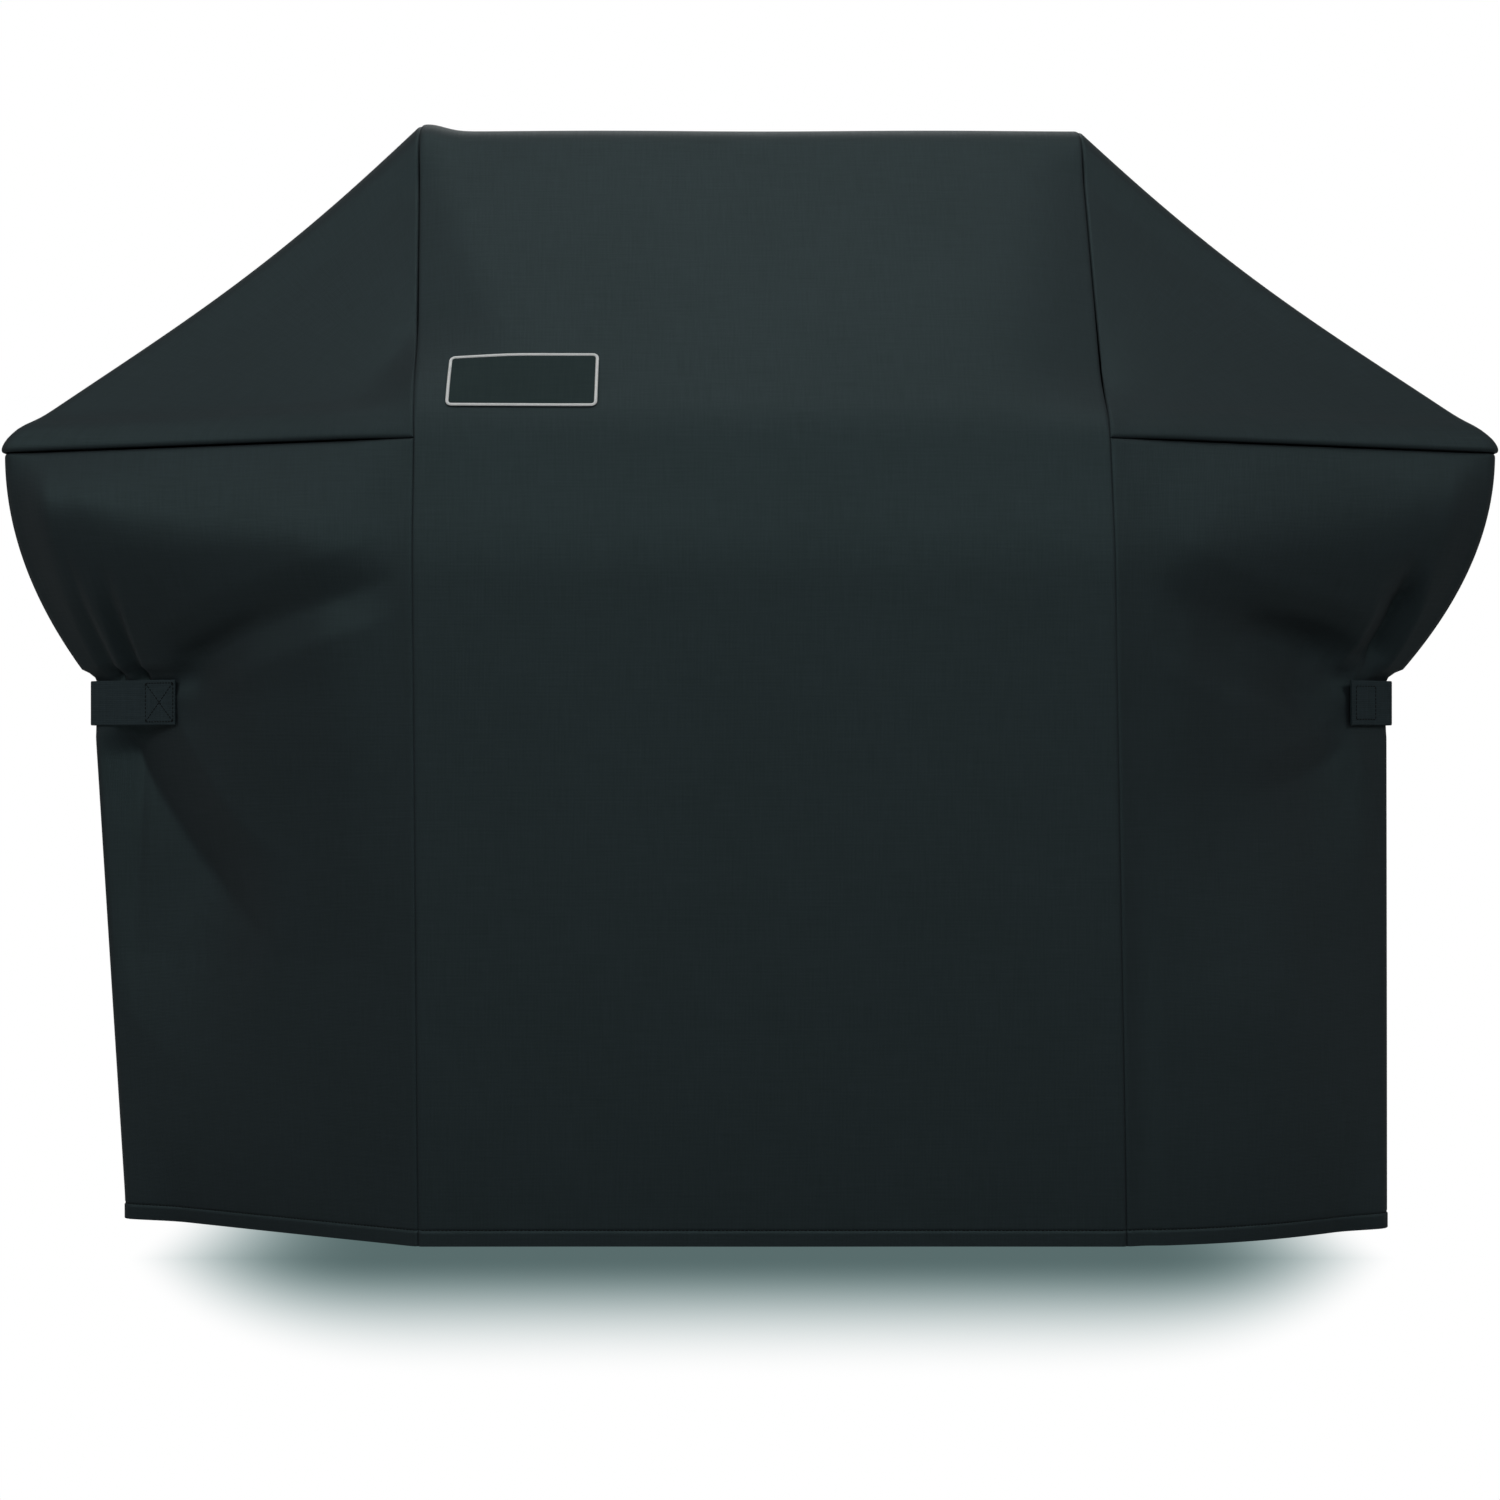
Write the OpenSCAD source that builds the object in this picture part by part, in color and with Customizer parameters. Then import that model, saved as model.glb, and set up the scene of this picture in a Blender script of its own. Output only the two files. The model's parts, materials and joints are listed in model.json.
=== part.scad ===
// Fitted cover for a barbecue that stands on a cart with a shelf at each side.
// A strip of coated cloth runs from the front hem over the lid to the back hem. On each side a
// shoulder panel slopes from the lid to the shelf, and an end panel hangs from the seam round the shelf
// to the hem. A webbing strap gathers each end panel below its shelf and closes with hook and loop.
// X runs to the right, Y to the back and Z up from the hem. Sizes are in millimetres.

/* [Cover] */
// Width across the tips of the two wings
cover_w = 1697; // [1600:1:1900]
// Depth from the front face to the back face
cover_d = 678; // [600:1:760]
// Height from the hem to the top
cover_h = 1256; // [1200:1:1350]
// Thickness of the coated cloth
cloth_t = 1.5; // [1:0.1:2.5]
// Gap between the edges of two panels at a seam
seam_gap = 0.4; // [0.2:0.1:0.8]
// Gap between two layers that are sewn flat on each other
layer_gap = 0.3; // [0.2:0.1:0.5]

/* [Lid strip] */
// Width of the strip along the top
strip_w_top = 770; // [700:1:840]
// Width of the strip at the shelf seam
strip_w_shelf = 749; // [700:1:820]
// Width of the strip at the hem
strip_w_hem = 756; // [700:1:820]
// How far the strip stands to the right at the shelf seam
lean_shelf = 13; // [-30:1:30]
// How far the strip stands to the right at the hem
lean_hem = 24; // [-40:1:40]
// Height where the front turns back into the slope of the lid
front_break_h = 839; // [780:1:880]
// Radius of that turn
front_break_r = 400; // [200:1:500]
// Depth from the middle to the front edge of the top
top_front = 75; // [40:1:120]
// Radius of the front edge of the top
top_front_r = 60; // [30:1:80]
// Depth from the middle to the back edge of the top
top_back = 130; // [100:1:160]
// Radius of the back edge of the top
top_back_r = 90; // [50:1:120]
// Depth from the middle to the seam across the top
top_seam = 70; // [40:1:85]
// Height where the slope at the back turns down
back_break_h = 1000; // [960:1:1050]
// Radius of that turn
back_break_r = 200; // [100:1:250]

/* [Wings] */
// Height of the seam round the side shelf
shelf_h = 865; // [840:1:890]
// Rise of the shoulder's edge above the shelf seam
shoulder_edge_rise = 14; // [12:1:40]
// Radius of the shoulder's edge
shoulder_edge_r = 20; // [8:1:22]
// Rise from the shelf seam to where the shoulder leaves the lid strip
shoulder_foot_rise = 95; // [60:1:130]
// How far the shoulder sags between the lid and the shelf
shoulder_sag = 20; // [0:1:40]
// Depth of a wing at its tip
tip_d = 330; // [260:1:400]
// How full a wing hangs from its shelf: 2 is round, and more turns in later and faster
wing_fullness = 2.3; // [1.6:0.1:3]
// Radius of the upright corners of a wing
wing_corner_r = 30; // [15:1:45]

/* [Waist and hem] */
// Drop from the shelf seam to the middle of the straps
waist_drop = 282; // [240:1:360]
// Height of the gathered band below the shelf
waist_band_h = 66; // [60:1:90]
// Depth of a wing at its waist
waist_d = 200; // [160:1:320]
// Distance from the middle to the left waist
left_waist_w = 758; // [690:1:790]
// Distance from the middle to the right waist
right_waist_w = 737; // [690:1:790]
// Distance from the middle to the left end of the hem
left_hem_w = 705; // [660:1:790]
// Distance from the middle to the right end of the hem
right_hem_w = 705; // [660:1:790]
// Depth of the left wing at the hem
left_hem_d = 334; // [260:1:480]
// Depth of the right wing at the hem
right_hem_d = 452; // [260:1:500]

/* [Hems and bindings] */
// Height of the hem facings
hem_h = 20; // [12:1:40]
// Thickness of the hem facings
hem_t = 1.5; // [0.8:0.1:2.5]
// Width of the binding tapes inside the seams
binding_w = 20; // [12:1:30]
// Thickness of the binding tapes
binding_t = 0.8; // [0.5:0.1:1.5]
// Distance of facings and tapes from the seam they follow
seam_inset = 2; // [1.5:0.1:4]

/* [Straps] */
// Width of the webbing
strap_w = 50; // [38:1:58]
// Thickness of the webbing
strap_t = 2; // [1.5:0.1:3]
// Length of the sewn end, up to the corner of the wing
anchor_l = 132; // [90:1:160]
// Length of the free end, from the corner of the wing
tail_l = 70; // [68:1:95]
// Length of the hook and loop patches
patch_l = 38; // [20:1:40]
// Height of the hook and loop patches
patch_h = 44; // [30:1:50]
// Thickness of each patch
patch_t = 1.2; // [0.8:0.1:2]
// Distance of the patches from the corner of the wing
patch_setback = 26; // [22:1:28]
// Play between two lengths of webbing at a corner
hinge_play = 0.4; // [0.2:0.1:0.8]

/* [Label] */
// Width of the bare label patch
label_w = 165; // [80:1:200]
// Height of the label patch
label_h = 75; // [40:1:100]
// Thickness of the label patch
label_t = 1; // [0.6:0.1:2]
// Distance of the label's middle to the left of the cover's middle
label_left = 247; // [150:1:270]
// Height of the label's middle
label_mid_h = 931; // [900:1:1000]

/* [Hidden] */

// Sides of the cover
left = -1;
right = 1;

// Segments in a large turn, in a corner, along a wing's side, along its end and up each of its stretches
turn_n = 6;
corner_n = 4;
side_n = 5;
end_n = 4;
skirt_n = 4;
rise_n = 6;
slope_n = 4;
round_n = 48;

// Points of a path closer than this are one point
near_zero = 0.01;

// Colours of the cloth, the tapes, the webbing and the patches
cloth_colour = "#2b3436";
end_colour = "#293032";
tape_colour = "#1c2021";
webbing_colour = "#33393b";
patch_colour = "#17191a";
label_colour = "#222829";

front_y = -cover_d / 2;
back_y = cover_d / 2;
tip_w = cover_w / 2;
shoulder_edge_h = shelf_h + shoulder_edge_rise;
shoulder_foot_h = shelf_h + shoulder_foot_rise;
waist_h = shelf_h - waist_drop;
waist_low = waist_h - waist_band_h / 2;
waist_high = waist_h + waist_band_h / 2;
binding_in = cloth_t + layer_gap;

// Vectors and paths

function unit(v) = v / norm(v);

// Points from a towards b, without b
function steps(a, b, n) = [for (i = [0:n - 1]) a + (b - a) * i / n];

function reversed(path) = [for (i = [len(path) - 1:-1:0]) path[i]];

// Arc of radius r that rounds the corner at b between a and c, in the plane or in space
function corner_arc(a, b, c, r, n) =
    let (u = unit(a - b),
         v = unit(c - b),
         half = acos(u * v) / 2,
         turn = 180 - 2 * half,
         centre = b + unit(u + v) * r / sin(half),
         from = b + u * r / tan(half) - centre,
         to = b + v * r / tan(half) - centre)
    [for (i = [0:n]) centre + (from * sin(turn * (1 - i / n)) + to * sin(turn * i / n)) / sin(turn)];

// Length of the segment after a point of a path, and the length along the path at each of its points
function segment(path, i) = i + 1 < len(path) ? norm(path[i + 1] - path[i]) : 0;
function run(path) = [for (i = 0, s = 0; i < len(path); s = s + segment(path, i), i = i + 1) s];

function point_at(path, s) =
    let (lengths = run(path), last = len(path) - 1)
    [lookup(s, [for (i = [0:last]) [lengths[i], path[i].x]]),
     lookup(s, [for (i = [0:last]) [lengths[i], path[i].y]])];

// Stretch of a path between two lengths along it
function cut_path(path, s0, s1) =
    let (lengths = run(path),
         from = s0 + near_zero,
         to = s1 - near_zero)
    concat([point_at(path, s0)],
           [for (i = [0:len(path) - 1]) if (lengths[i] > from && lengths[i] < to) path[i]],
           [point_at(path, s1)]);

// Path moved to its left by d, with mitred corners
function offset_path(path, d) =
    [for (i = [0:len(path) - 1])
        let (last = len(path) - 1,
             before = unit(path[max(i, 1)] - path[max(i, 1) - 1]),
             after = unit(path[min(i, last - 1) + 1] - path[min(i, last - 1)]),
             mid = unit(before + after),
             n = [-mid.y, mid.x])
        path[i] + d * n / (n * [-before.y, before.x])];

// Outline of a layer between two distances to the left of a path
function layer(path, near, far) = concat(offset_path(path, near), reversed(offset_path(path, far)));

// Lid strip: its side view, from the front hem over the top to the back hem, as points of Y and Z

front_hem_point = [front_y, 0];
front_break = [front_y, front_break_h];
top_front_edge = [-top_front, cover_h];
top_back_edge = [top_back, cover_h];
back_break = [back_y, back_break_h];
back_hem_point = [back_y, 0];

top_front_arc = corner_arc(front_break, top_front_edge, top_back_edge, top_front_r, corner_n);
top_back_arc = corner_arc(top_front_edge, top_back_edge, back_break, top_back_r, corner_n);
front_rise = concat(
    [front_hem_point],
    corner_arc(front_hem_point, front_break, top_front_edge, front_break_r, turn_n),
    top_front_arc);
back_fall = concat(
    top_back_arc,
    corner_arc(top_back_edge, back_break, back_hem_point, back_break_r, turn_n),
    [back_hem_point]);
side_view = concat(front_rise, back_fall);
side_view_run = run(side_view);
side_view_l = side_view_run[len(side_view) - 1];
front_rise_run = run(front_rise);
top_seam_s = front_rise_run[len(front_rise) - 1] + top_seam - front_rise[len(front_rise) - 1].x;

front_path = cut_path(side_view, 0, top_seam_s - seam_gap / 2);
back_path = cut_path(side_view, top_seam_s + seam_gap / 2, side_view_l);

// Depth of the front and of the back of the strip at a height, and the length along the front to there
function front_at(z) = lookup(z, [for (p = front_rise) [p.y, p.x]]);
function back_at(z) = lookup(z, [for (p = back_fall) [p.y, p.x]]);
function front_run_at(z) =
    lookup(z, [for (i = [0:len(front_rise) - 1]) [front_rise[i].y, front_rise_run[i]]]);

// Distance from the middle to the seam beside the strip, on one side at a height
function seam_x(side, z) =
    lookup(z, [[0, strip_w_hem], [shelf_h, strip_w_shelf], [cover_h, strip_w_top]]) / 2
    + side * lookup(z, [[0, lean_hem], [shelf_h, lean_shelf], [cover_h, 0]]);

// Heights at which the seams beside the strip bend, run on past the hem and the top
seam_levels = [-cover_d, 0, shelf_h, cover_h, cover_h + cover_d];

// Solid with a side view, between two places across the cover
module across(x0, x1) {
    translate([x0, 0, 0]) rotate([90, 0, 90]) linear_extrude(x1 - x0) children();
}

// Space beside the seam of one side, from one distance to another towards the middle
module beside_seam(side, near, far) {
    translate([0, cover_d, 0]) rotate([90, 0, 0]) linear_extrude(2 * cover_d) polygon(concat(
        [for (z = seam_levels) [side * (seam_x(side, z) - near), z]],
        [for (z = reversed(seam_levels)) [side * (seam_x(side, z) - far), z]]));
}

// Space between the two seams
module between_seams(inset) {
    translate([0, cover_d, 0]) rotate([90, 0, 0]) linear_extrude(2 * cover_d) polygon(concat(
        [for (z = seam_levels) [seam_x(right, z) - inset, z]],
        [for (z = reversed(seam_levels)) [-seam_x(left, z) + inset, z]]));
}

module strip_panel(path) {
    color(cloth_colour) intersection() {
        across(-tip_w, tip_w) polygon(layer(path, 0, -cloth_t));
        between_seams(seam_gap / 2);
    }
}

module front_panel() {
    strip_panel(front_path);
}

module back_panel() {
    strip_panel(back_path);
}

// Tape inside the strip, along the seam of one side
module seam_binding(path, side) {
    color(tape_colour) intersection() {
        across(-tip_w, tip_w) polygon(layer(path, -binding_in, -binding_in - binding_t));
        beside_seam(side, seam_inset, seam_inset + binding_w);
    }
}

front_binding_path = cut_path(side_view, hem_h + seam_inset, top_seam_s - seam_inset);
back_binding_path = cut_path(side_view, top_seam_s + seam_inset, side_view_l - hem_h - seam_inset);

module front_left_binding() {
    seam_binding(front_binding_path, left);
}

module front_right_binding() {
    seam_binding(front_binding_path, right);
}

module back_left_binding() {
    seam_binding(back_binding_path, left);
}

module back_right_binding() {
    seam_binding(back_binding_path, right);
}

// Tape under the seam across the top, between the two tapes beside it
module top_binding() {
    path = cut_path(side_view, top_seam_s - seam_inset - binding_w, top_seam_s - seam_inset);
    color(tape_colour) intersection() {
        across(-tip_w, tip_w) polygon(layer(path, -binding_in, -binding_in - binding_t));
        between_seams(2 * seam_inset + binding_w);
    }
}

// Facing inside the hem of the strip, with its outer face at a depth
module strip_hem(y0) {
    color(tape_colour) intersection() {
        translate([-tip_w, y0, 0]) cube([cover_w, hem_t, hem_h]);
        between_seams(seam_inset);
    }
}

module front_hem() {
    strip_hem(front_y + binding_in);
}

module back_hem() {
    strip_hem(back_y - binding_in - hem_t);
}

// Bare sewn patch on the slope at the front, left of the middle
module label_patch() {
    mid_s = front_run_at(label_mid_h);
    path = cut_path(side_view, mid_s - label_h / 2, mid_s + label_h / 2);
    color(label_colour)
        across(-label_left - label_w / 2, -label_left + label_w / 2)
            polygon(layer(path, layer_gap, layer_gap + label_t));
}

// Wings: both are worked out to the right of the middle, and the left one is mirrored

function waist_w(side) = side == left ? left_waist_w : right_waist_w;
function hem_w(side) = side == left ? left_hem_w : right_hem_w;
function hem_d(side) = side == left ? left_hem_d : right_hem_d;

// Size of a wing at a height: it widens from the waist to the hem, and swells from the waist to the tip
function wing_size(z, hem, waist, tip) =
    z < waist_high
        ? lookup(z, [[hem_h, hem], [waist_low, waist]])
        : tip - (tip - waist) * pow((shelf_h - z) / (shelf_h - waist_high), wing_fullness);

// Distance from the middle to the end of a wing, and depth of the wing there
function wing_w(side, z) = wing_size(z, hem_w(side), waist_w(side), tip_w);
function wing_d(side, z) = wing_size(z, hem_d(side), waist_d, tip_d);

// Plan of a wing at a height: along its front, round its end and along its back
function wing_path(side, z) =
    let (near_x = seam_x(side, z) + seam_gap / 2,
         far_x = wing_w(side, z),
         half_d = wing_d(side, z) / 2,
         a = [near_x, front_at(z)],
         b = [far_x, -half_d],
         c = [far_x, half_d],
         e = [near_x, back_at(z)],
         front_arc = corner_arc(a, b, c, wing_corner_r, corner_n),
         back_arc = corner_arc(b, c, e, wing_corner_r, corner_n))
    concat(steps(a, front_arc[0], side_n),
           [for (i = [0:corner_n - 1]) front_arc[i]],
           steps(front_arc[corner_n], back_arc[0], end_n),
           [for (i = [0:corner_n - 1]) back_arc[i]],
           steps(back_arc[corner_n], e, side_n),
           [e]);

// Outward normals of a grid of points. The first row stays level and the side columns stay in the
// plane of their seam, so that two panels meet edge to edge. last_row says which way the last row stays.
// A foot, where the last row runs on in line with its side column, takes its slope from the row below.
function sheet_normals(grid, last_row) =
    let (rows = len(grid) - 1, cols = len(grid[0]) - 1)
    [for (i = [0:rows]) [for (j = [0:cols])
        let (at_side = j == 0 || j == cols,
             level = at_side ? min(i, rows - 1) : i,
             along = grid[level][min(j + 1, cols)] - grid[level][max(j - 1, 0)],
             up = grid[min(i + 1, rows)][j] - grid[max(i - 1, 0)][j],
             n = cross(along, up),
             in_row = i == 0 ? [1, 1, 0] : i == rows ? last_row : [1, 1, 1],
             in_col = at_side ? [0, 1, 1] : [1, 1, 1])
        unit([n.x * in_row.x * in_col.x, n.y * in_row.y * in_col.y, n.z * in_row.z * in_col.z])]];

// Solid between two distances from a grid of points, along its normals
module sheet(grid, normals, near, far) {
    rows = len(grid) - 1;
    cols = len(grid[0]) - 1;
    per_side = (rows + 1) * (cols + 1);
    function outer(i, j) = i * (cols + 1) + j;
    function inner(i, j) = per_side + outer(i, j);
    function two_triangles(a, b, c, d) = [[a, b, c], [a, c, d]];
    // The front half is split the other way from the back half, so that both feet have whole triangles
    function split(j, a, b, c, d) = j < cols / 2 ? two_triangles(b, c, d, a) : two_triangles(a, b, c, d);
    points = [for (d = [near, far]) for (i = [0:rows]) for (j = [0:cols]) grid[i][j] + d * normals[i][j]];
    faces = concat(
        [for (i = [0:rows - 1]) for (j = [0:cols - 1]) each
            split(j, outer(i, j), outer(i + 1, j), outer(i + 1, j + 1), outer(i, j + 1))],
        [for (i = [0:rows - 1]) for (j = [0:cols - 1]) each
            split(j, inner(i + 1, j + 1), inner(i + 1, j), inner(i, j), inner(i, j + 1))],
        [for (j = [0:cols - 1]) each
            two_triangles(outer(0, j), outer(0, j + 1), inner(0, j + 1), inner(0, j))],
        [for (j = [0:cols - 1]) each
            two_triangles(outer(rows, j + 1), outer(rows, j), inner(rows, j), inner(rows, j + 1))],
        [for (i = [0:rows - 1]) each
            two_triangles(outer(i + 1, 0), outer(i, 0), inner(i, 0), inner(i + 1, 0))],
        [for (i = [0:rows - 1]) each
            two_triangles(outer(i, cols), outer(i + 1, cols), inner(i + 1, cols), inner(i, cols))]);
    polyhedron(points, faces);
}

module on_side(side) {
    mirror([side == left ? 1 : 0, 0, 0]) children();
}

// End panel: rows from the hem to the shelf seam, with the last rows at the edges of the shelf tape
tape_low = shelf_h - seam_inset - binding_w;
tape_high = shelf_h - seam_inset;
end_levels = concat(
    [0],
    steps(hem_h, waist_low, skirt_n),
    [waist_low],
    steps(waist_high, tape_low, rise_n),
    [tape_low, tape_high, shelf_h]);

function end_grid(side) =
    [for (z = end_levels) [for (p = wing_path(side, z)) [p.x, p.y, min(z, shelf_h - seam_gap / 2)]]];

module end_panel(side) {
    grid = end_grid(side);
    color(end_colour) on_side(side) sheet(grid, sheet_normals(grid, [1, 1, 0]), 0, -cloth_t);
}

module left_end_panel() {
    end_panel(left);
}

module right_end_panel() {
    end_panel(right);
}

// Tape inside the end panel, below the shelf seam
module shelf_binding(side) {
    grid = end_grid(side);
    normals = sheet_normals(grid, [1, 1, 0]);
    first = len(grid) - 3;
    color(tape_colour) on_side(side)
        sheet([grid[first], grid[first + 1]], [normals[first], normals[first + 1]],
              -binding_in, -binding_in - binding_t);
}

module left_shelf_binding() {
    shelf_binding(left);
}

module right_shelf_binding() {
    shelf_binding(right);
}

// Facing inside the hem of an end panel
module end_hem(side) {
    whole = wing_path(side, 0);
    lengths = run(whole);
    path = cut_path(whole, 2 * seam_inset, lengths[len(whole) - 1] - 2 * seam_inset);
    color(tape_colour) on_side(side)
        linear_extrude(hem_h) polygon(layer(path, binding_in, binding_in + hem_t));
}

module left_hem() {
    end_hem(left);
}

module right_hem() {
    end_hem(right);
}

// Edge of the lid strip that the shoulder is sewn to, from its front foot over the top to its back foot
lid_edge = concat(
    [for (z = steps(shoulder_foot_h, top_front_arc[0].y, side_n)) [front_at(z), z]],
    [for (i = [0:corner_n - 1]) top_front_arc[i]],
    steps(top_front_arc[corner_n], top_back_arc[0], end_n),
    [for (i = [0:corner_n - 1]) top_back_arc[i]],
    [for (z = steps(top_back_arc[corner_n].y, shoulder_foot_h, side_n)) [back_at(z), z]],
    [[back_at(shoulder_foot_h), shoulder_foot_h]]);

// Rows of the shoulder from the shelf seam to the lid: up the edge, round it and along the sagging slope
shoulder_rows = corner_n + slope_n + 1;
shoulder_low = shelf_h + seam_gap / 2;

function lid_point(side, y, z) = [seam_x(side, z) + seam_gap / 2, y, z];

// Line of the shoulder up from one point of the shelf seam to one point of the lid
function shoulder_line(low, high, sag) =
    let (edge = [low.x, low.y, shoulder_edge_h],
         arc = corner_arc(low, edge, high, shoulder_edge_r, corner_n))
    concat([low],
           [for (i = [0:corner_n - 1]) arc[i]],
           [for (i = [0:slope_n])
               arc[corner_n] + (high - arc[corner_n]) * i / slope_n
               - [0, 0, sag * sin(180 * i / slope_n)]]);

// The first and the last line run along the seam beside the lid strip
function shoulder_seam_line(side, at_front) =
    [for (i = [0:shoulder_rows])
        let (z = shoulder_low + (shoulder_foot_h - shoulder_low) * i / shoulder_rows)
        lid_point(side, at_front ? front_at(z) : back_at(z), z)];

function shoulder_lines(side) =
    let (plan = wing_path(side, shelf_h), last = len(plan) - 1)
    [for (j = [0:last])
        j == 0 || j == last
            ? shoulder_seam_line(side, j == 0)
            : shoulder_line([plan[j].x, plan[j].y, shoulder_low],
                            lid_point(side, lid_edge[j].x, lid_edge[j].y),
                            shoulder_sag * sin(180 * j / last))];

module shoulder_panel(side) {
    lines = shoulder_lines(side);
    grid = [for (i = [0:shoulder_rows]) [for (line = lines) line[i]]];
    color(cloth_colour) on_side(side) sheet(grid, sheet_normals(grid, [0, 1, 1]), 0, -cloth_t);
}

module left_shoulder_panel() {
    shoulder_panel(left);
}

module right_shoulder_panel() {
    shoulder_panel(right);
}

// Straps: the left one is sewn on at the front and closes at the back, the right one the other way round.
// Both are worked out to the right of the middle with the sewn end at the front, and then mirrored.

loop_out = layer_gap;
hook_out = loop_out + patch_t + layer_gap;
tail_out = hook_out + patch_t + layer_gap + strap_t / 2;
anchor_out = layer_gap + strap_t / 2;

// Direction from the seam to the corner of the wing at its waist, along the front
function waist_line(side) = unit([waist_w(side) - seam_x(side, waist_h), back_y - waist_d / 2]);

// Corners where the webbing bends, round the end of the wing: sewn side first
function sewn_corner(side) =
    let (t = waist_line(side),
         p = [waist_w(side), -waist_d / 2] + anchor_out * [t.y, -t.x])
    p + t * (waist_w(side) + tail_out - p.x) / t.x;

function free_corner(side) =
    let (t = waist_line(side),
         p = [waist_w(side), waist_d / 2] + tail_out * [t.y, t.x])
    p + [t.x, -t.y] * (waist_w(side) + tail_out - p.x) / t.x;

// Plan of a flat length from a point, in a direction, with its thickness to both sides of an offset
module flat_length(from, direction, s0, s1, out, t) {
    n = [-direction.y, direction.x];
    polygon([for (c = [[s0, out - t / 2], [s1, out - t / 2], [s1, out + t / 2], [s0, out + t / 2]])
        from + c.x * direction + c.y * n]);
}

module strap_place(side, h) {
    mirror([side == left ? 1 : 0, 0, 0]) mirror([0, side == right ? 1 : 0, 0])
        translate([0, 0, waist_h - h / 2]) linear_extrude(h) children();
}

// Round end at a bend, a little inside the faces of the webbing
bend_inset = 0.1;

module round_end(corner) {
    translate(corner) circle(d = strap_t - 2 * bend_inset, $fn = round_n);
}

module strap_anchor(side) {
    corner = sewn_corner(side);
    color(webbing_colour) strap_place(side, strap_w) {
        flat_length(corner, -waist_line(side), 0, anchor_l, 0, strap_t);
        round_end(corner);
    }
}

module strap_band(side) {
    from = sewn_corner(side);
    to = free_corner(side);
    color(webbing_colour) strap_place(side, strap_w) {
        flat_length(from, [0, 1], strap_t / 2 + hinge_play, to.y - from.y, 0, strap_t);
        round_end(to);
    }
}

// Direction of the free end, from the corner of the wing back towards the seam
function tail_line(side) = let (t = waist_line(side)) [-t.x, t.y];

module strap_tail(side) {
    color(webbing_colour) strap_place(side, strap_w)
        flat_length(free_corner(side), tail_line(side), strap_t / 2 + hinge_play, tail_l, 0, strap_t);
}

// Patch under the free end, with its inner face at a distance from the cloth
module strap_patch(side, out) {
    color(patch_colour) strap_place(side, patch_h)
        flat_length(free_corner(side), tail_line(side), patch_setback, patch_setback + patch_l,
                    tail_out - out - patch_t / 2, patch_t);
}

module left_strap_anchor() {
    strap_anchor(left);
}

module left_strap_band() {
    strap_band(left);
}

module left_strap_tail() {
    strap_tail(left);
}

module left_hook_patch() {
    strap_patch(left, hook_out);
}

module left_loop_patch() {
    strap_patch(left, loop_out);
}

module right_strap_anchor() {
    strap_anchor(right);
}

module right_strap_band() {
    strap_band(right);
}

module right_strap_tail() {
    strap_tail(right);
}

module right_hook_patch() {
    strap_patch(right, hook_out);
}

module right_loop_patch() {
    strap_patch(right, loop_out);
}

front_panel();
back_panel();
left_shoulder_panel();
right_shoulder_panel();
left_end_panel();
right_end_panel();
front_hem();
back_hem();
left_hem();
right_hem();
front_left_binding();
front_right_binding();
back_left_binding();
back_right_binding();
left_shelf_binding();
right_shelf_binding();
top_binding();
left_strap_anchor();
left_strap_band();
left_strap_tail();
left_hook_patch();
left_loop_patch();
right_strap_anchor();
right_strap_band();
right_strap_tail();
right_hook_patch();
right_loop_patch();
label_patch();
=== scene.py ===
import json
import math

import bpy
import numpy as np
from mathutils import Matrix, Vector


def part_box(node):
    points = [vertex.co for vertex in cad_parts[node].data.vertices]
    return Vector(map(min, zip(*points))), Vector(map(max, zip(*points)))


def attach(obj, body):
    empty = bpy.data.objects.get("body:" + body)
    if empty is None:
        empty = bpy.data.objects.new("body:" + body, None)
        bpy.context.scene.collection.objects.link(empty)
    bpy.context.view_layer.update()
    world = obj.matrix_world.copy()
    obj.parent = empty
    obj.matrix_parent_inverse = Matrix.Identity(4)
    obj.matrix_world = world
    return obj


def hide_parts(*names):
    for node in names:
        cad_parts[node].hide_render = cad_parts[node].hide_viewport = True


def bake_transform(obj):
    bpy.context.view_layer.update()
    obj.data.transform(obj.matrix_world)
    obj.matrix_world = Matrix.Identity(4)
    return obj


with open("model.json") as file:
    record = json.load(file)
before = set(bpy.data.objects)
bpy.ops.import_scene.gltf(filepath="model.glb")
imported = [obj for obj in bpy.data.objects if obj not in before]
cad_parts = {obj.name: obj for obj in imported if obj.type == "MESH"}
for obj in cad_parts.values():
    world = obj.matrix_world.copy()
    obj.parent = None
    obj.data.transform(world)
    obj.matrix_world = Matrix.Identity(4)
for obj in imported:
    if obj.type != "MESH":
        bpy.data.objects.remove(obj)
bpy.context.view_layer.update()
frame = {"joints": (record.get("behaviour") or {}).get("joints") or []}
bpy.ops.object.select_all(action="DESELECT")
mm = 0.001

# Camera
# It stands level in front of the middle of the cover, a little below half its height.
# The focal length is the photograph's, in pixels of its square frame.
camera_h = 529 * mm
camera_gap = 2800 * mm
focal_px = 2631
photo_px = 1500
sensor_w = 36

front_y, back_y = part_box("front_panel")[0].y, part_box("back_panel")[1].y
camera_data = bpy.data.cameras.new("camera")
camera_data.sensor_width = sensor_w
camera_data.lens = sensor_w * focal_px / photo_px
camera = bpy.data.objects.new("camera", camera_data)
camera.location = (0, front_y - camera_gap, camera_h)
camera.rotation_euler = (math.radians(90), 0, 0)
bpy.context.collection.objects.link(camera)
bpy.context.scene.camera = camera

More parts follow.
